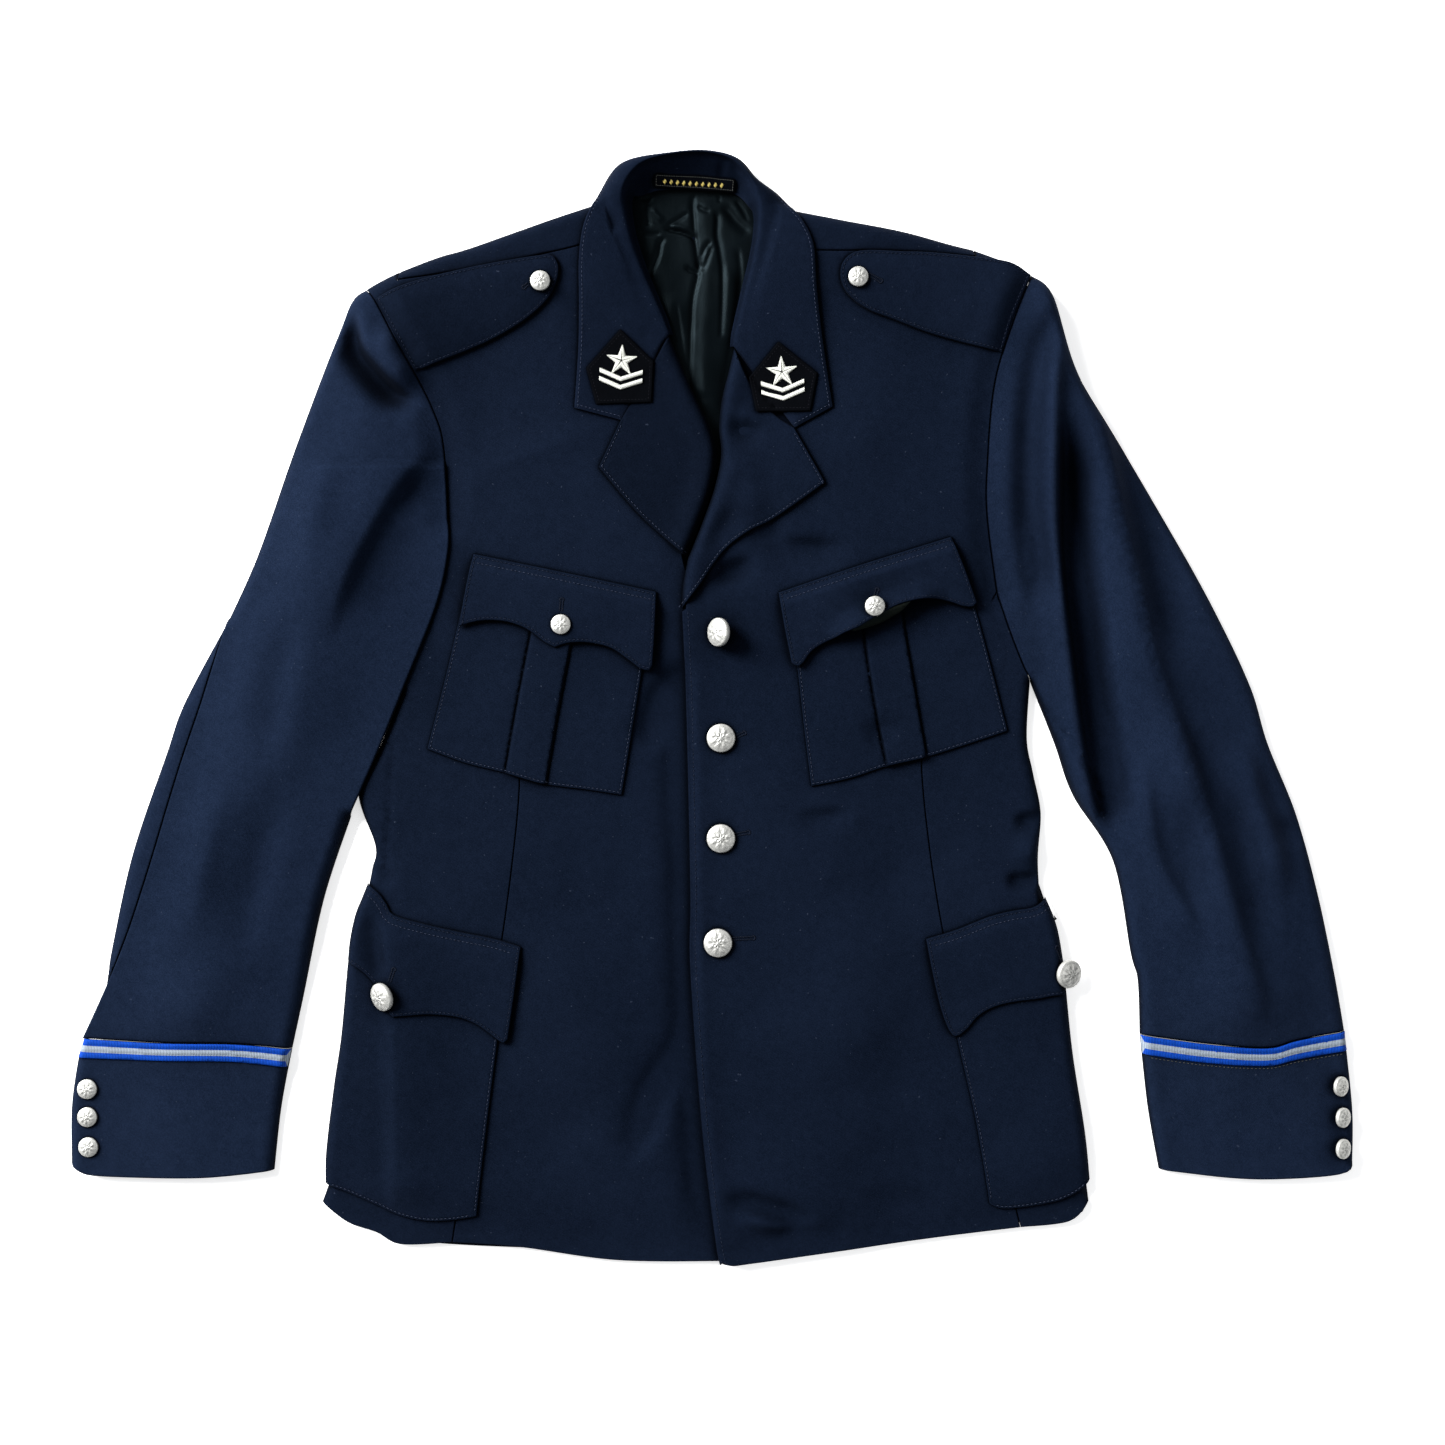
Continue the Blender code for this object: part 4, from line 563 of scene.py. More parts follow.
def curve(points, step=CURVE_STEP):
    """A soft curve through plan points, in millimetres."""
    knots = place(points)
    if len(knots) == 2:
        count = max(1, round(float(np.linalg.norm(knots[1] - knots[0])) / step))
        return knots[0] + (knots[1] - knots[0]) * np.linspace(0, 1, count + 1)[:, None]
    knots = np.vstack((knots[:1], knots, knots[-1:]))
    parts = [knots[1:2]]
    for a, b, c, d in zip(knots, knots[1:], knots[2:], knots[3:]):
        count = max(1, round(float(np.linalg.norm(c - b)) / step))
        t = (np.arange(1, count + 1) / count)[:, None]
        parts.append(cubic(a, b, c, d, t))
    return np.vstack(parts)


def moved(line, distance):
    """The line moved sideways, to the left of its way for a distance above 0."""
    before = line[np.maximum(np.arange(len(line)) - 1, 0)]
    after = line[np.minimum(np.arange(len(line)) + 1, len(line) - 1)]
    run = after - before
    run /= np.linalg.norm(run, axis=1)[:, None]
    return line + np.column_stack((-run[:, 1], run[:, 0])) * distance


def area_of(ring):
    x, y = ring[:, 0], ring[:, 1]
    return 0.5 * float(np.sum(x * np.roll(y, -1) - np.roll(x, -1) * y))


def inset(ring, distance):
    """The closed ring moved inwards, each corner along its bisector."""
    side = 1.0 if area_of(ring) > 0 else -1.0
    first = ring - np.roll(ring, 1, axis=0)
    second = np.roll(ring, -1, axis=0) - ring
    first /= np.linalg.norm(first, axis=1)[:, None]
    second /= np.linalg.norm(second, axis=1)[:, None]
    one = np.column_stack((-first[:, 1], first[:, 0])) * side
    two = np.column_stack((-second[:, 1], second[:, 0])) * side
    share = np.maximum(1.0 + np.sum(one * two, axis=1), 0.35)[:, None]
    return ring + (one + two) / share * distance


def joined(*lines, gap=SEAM_INSET):
    """One closed ring from lines that end where the next begins, set back for the seam gap."""
    ring = []
    for point in np.vstack(lines):
        if not ring or math.dist(point, ring[-1]) > SAME_SPOT:
            ring.append(point)
    if math.dist(ring[0], ring[-1]) <= SAME_SPOT:
        ring.pop()
    ring = inset(np.array(ring), gap)
    return ring if area_of(ring) > 0 else ring[::-1]


def outline(segments, gap=SEAM_INSET):
    return joined(*[curve(part) for part in segments], gap=gap)


def inside(x, y, ring):
    hit = np.zeros(x.shape, bool)
    for a, b in zip(ring, np.roll(ring, -1, axis=0)):
        if a[1] == b[1]:
            continue
        across = (a[1] > y) != (b[1] > y)
        hit ^= across & (x < (b[0] - a[0]) * (y - a[1]) / (b[1] - a[1]) + a[0])
    return hit


def nearest(x, y, line):
    """Distance to an open line, how far along it is met, and +1 on the left of its way or -1."""
    best = np.full(x.shape, 1e18)
    along = np.zeros(x.shape)
    side = np.ones(x.shape)
    start = 0.0
    for a, b in zip(line[:-1], line[1:]):
        run = b - a
        length = math.hypot(*run)
        if length == 0.0:
            continue
        t = np.clip(((x - a[0]) * run[0] + (y - a[1]) * run[1]) / length ** 2, 0.0, 1.0)
        far = (x - a[0] - run[0] * t) ** 2 + (y - a[1] - run[1] * t) ** 2
        closer = far < best
        best = np.where(closer, far, best)
        along = np.where(closer, start + t * length, along)
        side = np.where(closer, np.sign(run[0] * (y - a[1]) - run[1] * (x - a[0])), side)
        start += length
    return np.sqrt(best), along, side, start


def distance(x, y, line):
    best = np.full(np.shape(x), 1e18)
    for a, b in zip(line[:-1], line[1:]):
        run = b - a
        length = float(run @ run)
        if length == 0.0:
            continue
        t = np.clip(((x - a[0]) * run[0] + (y - a[1]) * run[1]) / length, 0.0, 1.0)
        best = np.minimum(best, (x - a[0] - run[0] * t) ** 2 + (y - a[1] - run[1] * t) ** 2)
    return np.sqrt(best)


def closed(ring):
    return np.vstack((ring, ring[:1]))


def waves(x, y, size, seed):
    """Slow noise of about -1 to 1, with hills the given size apart in millimetres."""
    return np.array([noise.noise(Vector((a / size, b / size, seed))) for a, b in zip(x.tolist(), y.tolist())])


def fold_lines(rows, step=4.0, lift=1.0):
    """Each fold of a table as its line, rise, width on both sides and taper."""
    return [(curve(points, step), rise * lift, left, right, taper) for _, points, rise, left, right,
            taper in rows]


# Heights of the stacked cloth, in millimetres
RIDGE_LINES = [(place([row[1:3], row[3:5]]), row[5], row[6]) for row in RIDGES]
FOLD_LINES = fold_lines(FOLDS, 8.0)
COLLAR_FOLD_LINES = fold_lines(COLLAR_FOLDS)
LINING_FOLD_LINES = fold_lines(LINING_FOLDS)
LEFT_LAPEL_LINES = fold_lines(LEFT_LAPEL_FOLDS, lift=2.5)
NECK_LINE = place([(692, 210), (706, 450)])
ARMHOLES = [curve(ARMHOLE_RIGHT, 8.0), curve(ARMHOLE_LEFT, 8.0)]
HEM_LINE = curve(HEM_SIDE_RIGHT + HEM_FRONT_RIGHT[1:4] + HEM_FRONT_LEFT[1:] + HEM_SIDE_LEFT[1:], 12.0)
SLEEVE_LINES = [curve(line, 12.0) for line in SLEEVE_MIDDLES]
OVER_LINE = place(SLEEVE_OVER_RIGHT)
UNDERLAP_X = place((752, 0))[0, 0]
UNDERLAP_TOP = place((0, 470))[0, 1]
OVER_TOP = place((0, 464))[0, 1]
LOWEST_UPPER = BACK_WALL + GAP


def folds_of(x, y, lines):
    height = np.zeros(x.shape)
    for line, rise, left, right, taper in lines:
        reach = 3.2 * max(left, right)
        near = ((x > line[:, 0].min() - reach) & (x < line[:, 0].max() + reach)
                & (y > line[:, 1].min() - reach) & (y < line[:, 1].max() + reach))
        if not near.any():
            continue
        far, along, side, total = nearest(x[near], y[near], line)
        ends = ease(np.minimum(along, total - along) / taper)
        height[near] += rise * ends * hill(far, np.where(side > 0, left, right))
    return height


def loft(x, y):
    """Fullness of the lined cloth: pulled down at the armholes, round along the sleeves."""
    seam = np.minimum(*[distance(x, y, line) for line in ARMHOLES])
    tube = np.minimum(*[distance(x, y, line) for line in SLEEVE_LINES])
    body = BODY_LOFT * ease(seam / ARMHOLE_PULL) * ease(distance(x, y, HEM_LINE) / HEM_PULL)
    return body + SLEEVE_LOFT * hill(tube, SLEEVE_ROUND)


def upper(x, y):
    """Underside of the fronts and of the upper sleeves."""
    height = LOWEST_UPPER + loft(x, y)
    height += (LINING_WALL + GAP) * ease((192.0 - distance(x, y, NECK_LINE)) / 75.0)
    for line, rise, width in RIDGE_LINES:
        height += rise * hill(distance(x, y, line), width)
    height += folds_of(x, y, FOLD_LINES)
    height += 1.8 * waves(x, y, 75.0, 3.0) + 0.5 * waves(x, y, 24.0, 8.0)
    low = LOWEST_UPPER + 1.0
    return np.where(height < low, LOWEST_UPPER + 1.0 / (1.0 + np.maximum(0.0, low - height)), height)


def lap(x, y):
    """Lift of the left front where it lies over the right front."""
    return (FRONT_WALL + GAP) * ease((UNDERLAP_X + 116.0 - x) / 60.0) * ease((UNDERLAP_TOP + 60.0 - y) / 50.0)


def over(x, y):
    """Lift of the right sleeve where it lies over the body."""
    lift = (FRONT_WALL + GAP) * ease((136.0 - distance(x, y, OVER_LINE)) / 60.0)
    return np.where(y > OVER_TOP, 0.0, lift)


def plus(*parts):
    return lambda x, y: sum(part(x, y) if callable(part) else part for part in parts)


def level(height):
    return lambda x, y: np.full(x.shape, float(height))


def turned_down(top, folds, foot=FOLD_FOOT, radius=FOLD_ROUND):
    """The top level brought down to a foot round the fold lines."""
    def value(x, y):
        full = top(x, y)
        near = np.full(x.shape, 1e9)
        for fold in folds:
            near = np.minimum(near, distance(x, y, fold))
        share = rounded(near, radius)
        return foot + (full - foot) * share
    return value


# Meshes

RIM_STEPS = (0.35, 0.9, 1.6, 2.4, 3.4)


def plan_mesh(ring, spacing, lines=(), rims=RIM_STEPS):
    """Points and triangles over a ring, finer towards its edge and along the given lines."""
    edge = closed(ring)
    points = [ring]
    for step in rims:
        points.append(inset(ring, step))
    low, high = ring.min(axis=0), ring.max(axis=0)
    rows = int((high[1] - low[1]) / (spacing * 0.866)) + 2
    columns = int((high[0] - low[0]) / spacing) + 2
    j, i = np.mgrid[0:rows, 0:columns]
    grid = np.column_stack(((low[0] + (i + 0.5 * (j % 2)) * spacing).ravel(),
                            (low[1] + j * spacing * 0.866).ravel()))
    grid = grid[inside(grid[:, 0], grid[:, 1], ring)]
    keep = distance(grid[:, 0], grid[:, 1], edge) > rims[-1] + spacing * 0.4
    for line in lines:
        keep &= distance(grid[:, 0], grid[:, 1], line) > spacing * 0.45
    points.append(grid[keep])
    inner = np.vstack(points[1:])
    extra = [line for line in lines if len(line)]
    if extra:
        inner = np.vstack([inner] + extra)
    good = inside(inner[:, 0], inner[:, 1], ring)
    good[good] = distance(inner[good, 0], inner[good, 1], edge) > rims[0] * 0.8
    everything = np.vstack((ring, inner[good]))
    count = len(ring)
    edges = [(k, (k + 1) % count) for k in range(count)]
    found, _, faces, _, _, _ = delaunay_2d_cdt([Vector(p) for p in everything.tolist()], edges, [], 0, 0.01)
    plan = np.array([(p.x, p.y) for p in found])
    faces = np.array([face for face in faces if len(face) == 3])
    middle = plan[faces].mean(axis=1)
    faces = faces[inside(middle[:, 0], middle[:, 1], ring)]
    a, b, c = plan[faces[:, 0]], plan[faces[:, 1]], plan[faces[:, 2]]
    turn = (b[:, 0] - a[:, 0]) * (c[:, 1] - a[:, 1]) - (b[:, 1] - a[:, 1]) * (c[:, 0] - a[:, 0])
    faces = faces[np.abs(turn) > 1e-5]
    turn = turn[np.abs(turn) > 1e-5]
    faces[turn < 0] = faces[turn < 0][:, ::-1]
    used, faces = np.unique(faces, return_inverse=True)
    return plan[used], faces.reshape(-1, 3)


def rim_of(faces, count):
    """Directed edges that only one triangle has."""
    pairs = np.vstack((faces[:, [0, 1]], faces[:, [1, 2]], faces[:, [2, 0]]))
    keys = pairs[:, 0] * count + pairs[:, 1]
    back = pairs[:, 1] * count + pairs[:, 0]
    return pairs[~np.isin(keys, back)]


def shell(ring, top, wall, spacing=BIG_SPACING, lines=(), stitched=None, soft=0.5, bottom=None,
          rims=RIM_STEPS,
          round_edge=RIM_ROUND):
    """A thin sheet over the ring: rounded along its edge, with a groove where it is topstitched."""
    plan, faces = plan_mesh(ring, spacing, lines, rims)
    x, y = plan[:, 0], plan[:, 1]
    full = top(x, y)
    rim_far = distance(x, y, closed(ring))
    share = 1.0 - rounded(rim_far, round_edge)
    low = np.maximum(full - wall, 0.0) if bottom is None else bottom(x, y)
    low = np.minimum(low, full - 0.3)
    high = full - wall * soft * share
    if stitched is not None:
        for line, into in stitched:
            far = distance(x, y, line)
            high += GROOVE_RIM[0] * hill(far - into * 0.5, GROOVE_RIM[1]) - GROOVE[0] * hill(far - into,
                                                                                             GROOVE[1])
    count = len(plan)
    rim = rim_of(faces, count)
    points = np.vstack((np.column_stack((x, y, high)), np.column_stack((x, y, low))))
    sides = np.column_stack((rim[:, 0], rim[:, 0] + count, rim[:, 1] + count, rim[:, 1]))
    sharp = np.vstack((rim, rim + count))
    return points, [faces, faces[:, ::-1] + count, sides[:, ::-1]], sharp


def make_piece(name, parts, look, nodes=(), sharp=True):
    """One object from shells, in metres, riding on the one body."""
    points, faces, keen, start = [], [], [], 0
    for spots, polygons, edges in parts:
        points.append(spots)
        faces += [group + start for group in polygons]
        if len(edges):
            keen.append(edges + start)
        start += len(spots)
    points = np.vstack(points)
    mesh = bpy.data.meshes.new(name)
    mesh.from_pydata((points * 0.001).tolist(), [], [face for group in faces for face in group.tolist()])
    mesh.polygons.foreach_set("use_smooth", np.ones(len(mesh.polygons), bool))
    if keen and sharp:
        keen = np.vstack(keen)
        pairs = np.empty(len(mesh.edges) * 2, np.int64)
        mesh.edges.foreach_get("vertices", pairs)
        pairs = np.sort(pairs.reshape(-1, 2), axis=1)
        keen = np.sort(keen, axis=1)
        marks = np.isin(pairs[:, 0] * start + pairs[:, 1], keen[:, 0] * start + keen[:, 1])
        mesh.edges.foreach_set("use_edge_sharp", marks)
    mesh.validate()
    mesh.update()
    made = bpy.data.objects.new(name, mesh)
    bpy.context.scene.collection.objects.link(made)
    mesh.materials.append(look)
    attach(made, "root")
    if nodes:
        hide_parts(*nodes)
    GROUND.append(BVHTree.FromPolygons(points.tolist(), [face for group in faces for face in group.tolist()]))
    return made


def plan_area(*rings):
    return sum(abs(area_of(ring)) for ring in rings) * 1e-6


def declare(rings, turned=0.0):
    """The sheet's cut: what shows of it, and what is turned under at its folds, in metres."""
    points = np.vstack(rings)
    size = (points.max(axis=0) - points.min(axis=0)) * 0.001
    area = plan_area(*rings) + turned
    area = min(max(area, 0.31 * size[0] * size[1]), size[0] * size[1])


def declare_tube(piece, *rings):
    """A flat tube's cut is as long as the tube is round, which is about the breadth of both layers."""
    area = plan_area(*rings)


def surface(x, y):
    """Height of the highest piece made so far at this place, in millimetres."""
    best = 0.0
    for tree in GROUND:
        hit = tree.ray_cast(Vector((x, y, 200.0)), Vector((0.0, 0.0, -1.0)))[0]
        if hit is not None:
            best = max(best, hit.z)
    return best


def surfaces(x, y):
    return np.array([surface(a, b) for a, b in zip(x, y)])


# Threads

def thread(a, b, radius, rise=0.0, sides=5, rings=3):
    """A short stitch from a to b, thicker and higher in its middle."""
    a, b = np.array(a, float), np.array(b, float)
    run = b - a
    length = np.linalg.norm(run)
    run = run / max(length, 1e-6)
    across = np.array((-run[1], run[0], 0.0))
    across /= max(np.linalg.norm(across), 1e-6)
    up = np.cross(run, across)
    points = [a]
    for k in range(rings):
        t = (k + 0.5) / rings
        wide = radius * (0.62 + 0.38 * math.sin(math.pi * t))
        middle = a + (b - a) * (0.06 + 0.88 * t) + np.array((0, 0, rise * math.sin(math.pi * t)))
        for s in range(sides):
            angle = 2 * math.pi * s / sides
            points.append(middle + across * wide * math.cos(angle) + up * wide * math.sin(angle))
    points.append(b)
    faces = []
    for s in range(sides):
        n = (s + 1) % sides
        faces.append((0, 1 + n, 1 + s))
        for k in range(rings - 1):
            low, high = 1 + k * sides, 1 + (k + 1) * sides
            faces.append((low + s, low + n, high + n))
            faces.append((low + s, high + n, high + s))
        top = 1 + (rings - 1) * sides
        faces.append((top + s, top + n, len(points) - 1))
    return np.array(points), np.array(faces)


def gather(threads):
    """Many threads as one shell."""
    points, faces, start = [], [], 0
    for spots, polygons in threads:
        points.append(spots)
        faces.append(polygons + start)
        start += len(spots)
    return np.vstack(points), [np.vstack(faces)], np.empty((0, 2), int)


def spaced(line, gap):
    """Points along a line at even steps, with the way that it runs there."""
    runs = np.diff(line, axis=0)
    lengths = np.linalg.norm(runs, axis=1)
    reach = np.concatenate(([0.0], np.cumsum(lengths)))
    spots = np.arange(gap * 0.5, reach[-1], gap)
    x, y = np.interp(spots, reach, line[:, 0]), np.interp(spots, reach, line[:, 1])
    which = np.clip(np.searchsorted(reach, spots) - 1, 0, len(runs) - 1)
    return np.column_stack((x, y)), runs[which] / np.maximum(lengths[which], 1e-6)[:, None]


def stitch_along(line, top, sink=0.02, size=STITCH):
    """A row of stitches on a height, in its groove."""
    length, step, width = size
    spots, ways = spaced(line, step)
    a, b = spots - ways * length * 0.5, spots + ways * length * 0.5
    za, zb = top(a[:, 0], a[:, 1]), top(b[:, 0], b[:, 1])
    return [thread((p[0], p[1], u - sink), (q[0], q[1], v - sink), width * 0.5, 0.12, 4, 2)
            for p, q, u, v in zip(a, b, za, zb)]


def satin(edge_a, edge_b, count, radius, rise):
    """Threads laid side by side from one edge line to the other; each edge is two or more 3-D points."""
    def along(edge, t):
        edge = np.array(edge, float)
        reach = np.concatenate(([0.0], np.cumsum(np.linalg.norm(np.diff(edge, axis=0), axis=1))))
        return np.array([np.interp(t * reach[-1], reach, edge[:, n]) for n in range(3)])
    made = []
    for k in range(count):
        t = (k + 0.5) / count
        a, b = along(edge_a, t), along(edge_b, t)
        if np.linalg.norm(b - a) > radius:
            made.append(thread(a, b, radius, rise, 5, 3))
    return made


# Materials

def nodes_of(name):
    made = bpy.data.materials.new(name)
    made.use_nodes = True
    tree = made.node_tree
    return made, tree, tree.nodes["Principled BSDF"]


def put(node, values):
    """Settings of a node by input name."""
    for key, value in values.items():
        node.inputs[key].default_value = value


def wire(tree, node, sources):
    """Sockets linked to a node by input name."""
    for key, socket in sources.items():
        tree.links.new(socket, node.inputs[key])


def linked(tree, kind, values, sources):
    node = tree.nodes.new(kind)
    put(node, values)
    wire(tree, node, sources)
    return node


def mapped(tree, turn=0.0, stretch=(1.0, 1.0, 1.0)):
    spot = tree.nodes.new("ShaderNodeTexCoord").outputs["Object"]
    values = {"Rotation": (0.0, 0.0, math.radians(turn)), "Scale": stretch}
    return linked(tree, "ShaderNodeMapping", values, {"Vector": spot}).outputs["Vector"]


def noise_of(tree, vector, scale, detail=3.0, roughness=0.5):
    values = {"Scale": scale, "Detail": detail, "Roughness": roughness}
    return linked(tree, "ShaderNodeTexNoise", values, {"Vector": vector}).outputs["Fac"]


def wave_of(tree, vector, pitch, distort):
    """Bands this far apart, in metres."""
    values = {"Scale": math.pi / (10.0 * pitch), "Distortion": distort, "Detail": 1.0, "Detail Scale": 2.0}
    node = linked(tree, "ShaderNodeTexWave", values, {"Vector": vector})
    node.wave_type = "BANDS"
    node.bands_direction = "X"
    return node.outputs["Fac"]


def mathed(tree, kind, a, b):
    node = tree.nodes.new("ShaderNodeMath")
    node.operation = kind
    join_or_set(tree, zip(node.inputs, (a, b)))
    return node.outputs[0]


def mixed(tree, share, a, b):
    node = tree.nodes.new("ShaderNodeMix")
    node.data_type = "RGBA"
    join_or_set(tree, ((node.inputs[0], share), (node.inputs[6], a), (node.inputs[7], b)))
    return node.outputs[2]


def join_or_set(tree, pairs):
    for socket, value in pairs:
        if isinstance(value, (int, float, tuple)):
            socket.default_value = value
        else:
            tree.links.new(value, socket)


def weighted(tree, *terms):
    """The sum of sockets, each times its weight."""
    products = [mathed(tree, "MULTIPLY", socket, weight) for socket, weight in terms]
    total = products.pop()
    while products:
        total = mathed(tree, "ADD", products.pop(), total)
    return total


def ramp(tree, share, low, high):
    values = {"From Min": low, "From Max": high}
    return linked(tree, "ShaderNodeMapRange", values, {"Value": share}).outputs["Result"]


def bumped(tree, height, strength, depth):
    values = {"Strength": strength, "Distance": depth}
    return linked(tree, "ShaderNodeBump", values, {"Height": height}).outputs["Normal"]


def crevice(tree, reach, low, high):
    """0 deep in a crevice of this width and 1 in the open, from ambient occlusion: the mask for painted shade in
    the crevices of cloth, and for tarnish in the hollows of metal.
    """
    node = linked(tree, "ShaderNodeAmbientOcclusion", {"Distance": reach}, {})
    node.samples = 4
    return ramp(tree, node.outputs["AO"], low, high)


def pointed(tree, low, high):
    """0 to 1 from the hollow to the raised places of a mesh."""
    return ramp(tree, tree.nodes.new("ShaderNodeNewGeometry").outputs["Pointiness"], low, high)


def twill(name, turn, shade):
    """Wool twill: fine diagonal ribs crossed by threads, mottled, with a soft nap and worn edges, painted shade in
    its crevices and fold hollows, and a painted lightness set for each piece.
    """
    made, tree, shader = nodes_of(name)
    grain = mapped(tree, turn)
    ribs = wave_of(tree, grain, TWILL_PITCH, 0.6)
    threads = wave_of(tree, mapped(tree, turn + 63.0), TWILL_PITCH * 0.55, 0.4)
    fuzz = ramp(tree, noise_of(tree, grain, 1000.0, 2.0, 0.6), 0.32, 0.68)
    mottle = ramp(tree, noise_of(tree, grain, 160.0, 3.0, 0.55), 0.3, 0.7)
    cloud = ramp(tree, noise_of(tree, grain, 7.0, 2.0, 0.5), 0.3, 0.7)
    tone = weighted(tree, (cloud, 0.24), (mottle, 0.22), (fuzz, 0.52), (ribs, 0.14))
    # Painted lightness: each piece's copy of the twill is scaled lighter or darker by its factor, standing in for
    # how the light falls on that piece
    dark, light = (tuple(part * shade for part in colour[:3]) + (1.0,) for colour in (NAVY_DARK, NAVY_LIGHT))
    colour = mixed(tree, tone, dark, light)
    lint = ramp(tree, noise_of(tree, grain, 420.0, 1.0, 0.4), 0.775, 0.80)
    colour = mixed(tree, mathed(tree, "MULTIPLY", lint, 0.35), colour, LINT)
    worn = mathed(tree, "MULTIPLY", pointed(tree, 0.53, 0.62), 0.25)
    colour = mixed(tree, worn, colour, NAVY_WORN)
    # Painted shade: ambient occlusion darkens the cloth towards near black in narrow crevices, along the edges of
    # pieces lying on it, and in wide fold hollows
    unshaded_share = mathed(tree, "MULTIPLY", crevice(tree, 0.0034, 0.46, 0.95),
                        crevice(tree, 0.030, 0.70, 0.985))
    colour = mixed(tree, unshaded_share, NAVY_PAINTED_SHADE, colour)
    height = weighted(tree, (fuzz, 0.5), (ribs, 0.7), (threads, 0.3))
    put(shader, {"Roughness": 0.86, "Specular IOR Level": 0.025, "Specular Tint": (0.45, 0.62, 1.0, 1.0),
                 "Sheen Weight": 0.016, "Sheen Roughness": 0.45, "Sheen Tint": (0.35, 0.45, 0.75, 1.0)})
    wire(tree, shader, {"Base Color": colour, "Normal": bumped(tree, height, 0.55, 0.00016)})
    return made


def satin_black(name, dark=LINING_DARK, light=LINING_LIGHT):
    """Lining: smooth satin weave with a soft shine, faint creasing and painted shade in its creases."""
    made, tree, shader = nodes_of(name)
    grain = mapped(tree, 12.0)
    ribs = wave_of(tree, grain, 0.0006, 0.3)
    creases = noise_of(tree, mapped(tree, 20.0, (1.0, 0.35, 1.0)), 90.0, 4.0, 0.6)
    cloud = ramp(tree, noise_of(tree, grain, 30.0, 2.0, 0.5), 0.3, 0.7)
    # Painted shade: ambient occlusion darkens the satin towards near black in its creases and where other pieces
    # lie over it
    colour = mixed(tree, crevice(tree, 0.010, 0.55, 0.97), SATIN_PAINTED_SHADE, mixed(tree, cloud, dark, light))
    height = weighted(tree, (ribs, 0.12), (creases, 1.0))
    put(shader, {"Roughness": 0.42, "Specular IOR Level": 0.055, "Specular Tint": (0.55, 0.85, 1.0, 1.0),
                 "Anisotropic": 0.4})
    wire(tree, shader, {"Base Color": colour, "Normal": bumped(tree, height, 0.5, 0.0006)})
    return made


def felt_black(name):
    """Wool felt: matted fibres, slightly worn."""
    made, tree, shader = nodes_of(name)
    grain = mapped(tree)
    fibres = noise_of(tree, grain, 1100.0, 4.0, 0.7)
    cloud = noise_of(tree, grain, 120.0, 2.0, 0.5)
    colour = mixed(tree, weighted(tree, (fibres, 0.6), (cloud, 0.4)), FELT_DARK, FELT_LIGHT)
    put(shader, {"Roughness": 0.95, "Specular IOR Level": 0.015})
    wire(tree, shader, {"Base Color": colour, "Normal": bumped(tree, fibres, 0.8, 0.0004)})
    return made


def corded(name, colour_a, colour_b, turn, pitch, roughness=0.75, specular=0.08):
    """Braid or thread: fine cords across the way, with slight unevenness and soil."""
    made, tree, shader = nodes_of(name)
    grain = mapped(tree, turn)
    cords = wave_of(tree, grain, pitch, 1.2)
    cloud = noise_of(tree, grain, 220.0, 3.0, 0.6)
    colour = mixed(tree, weighted(tree, (cords, 0.55), (cloud, 0.45)), colour_a, colour_b)
    height = weighted(tree, (cords, 1.0), (cloud, 0.6))
    put(shader, {"Roughness": roughness, "Specular IOR Level": specular})
    wire(tree, shader, {"Base Color": colour, "Normal": bumped(tree, height, 0.7, 0.00025)})
    return made


def worn_silver(name):
    """Silver-plated metal, dull in its hollows and rubbed bright on its relief."""
    made, tree, shader = nodes_of(name)
    grain = mapped(tree)
    specks = noise_of(tree, grain, 900.0, 3.0, 0.65)
    cloud = ramp(tree, noise_of(tree, grain, 180.0, 2.0, 0.5), 0.25, 0.6)
    dirt = mathed(tree, "MULTIPLY", pointed(tree, 0.51, 0.45), cloud)
    dots = ramp(tree, specks, 0.64, 0.72)
    dirt = mathed(tree, "MAXIMUM", dirt, mathed(tree, "MULTIPLY", dots, 0.6))
    colour = mixed(tree, dirt, SILVER_LIGHT, SILVER_DARK)
    colour = mixed(tree, crevice(tree, 0.0018, 0.78, 1.0), SILVER_DARK, colour)
    rough = mathed(tree, "MULTIPLY", ramp(tree, specks, 0.2, 0.8), 0.16)
    put(shader, {"Metallic": 0.6})
    wire(tree, shader, {"Base Color": colour, "Roughness": mathed(tree, "ADD", rough, 0.40),
                        "Normal": bumped(tree, specks, 0.35, 0.0002)})
    return made


def paper_white(name):
    """The pale floor, which glows a little."""
    made, tree, shader = nodes_of(name)
    cloud = noise_of(tree, mapped(tree), 3.0, 2.0, 0.5)
    put(shader, {"Roughness": 0.9, "Specular IOR Level": 0.0, "Emission Color": (1.0, 1.0, 1.0, 1.0),
                 "Emission Strength": FLOOR_GLOW})
    wire(tree, shader, {"Base Color": mixed(tree, cloud, FLOOR_A, FLOOR_B)})
    return made


# The pieces

def on_front(x, y):
    return upper(x, y) + FRONT_WALL + GAP


def on_left(x, y):
    return upper(x, y) + lap(x, y) + FRONT_WALL + GAP


def front_edge_lift(x, y):
    """The left front stands up a little along its edge."""
    far = distance(x, y, curve(FRONT_EDGE_LEFT))
    return lap(x, y) * 0.75 * hill(far, 13.0)


def body_side(waist, hip, corner, side):
    return np.vstack((curve(waist), moved(curve(hip), FOLD_SET_BACK * side), place(corner)))


def fold_area(lines, height=6.0):
    """Cloth that a fold turns down to the floor, in square metres, as a share of its length."""
    return sum(float(np.sum(np.linalg.norm(np.diff(line, axis=0), axis=1))) for line in lines) * height * 1e-6


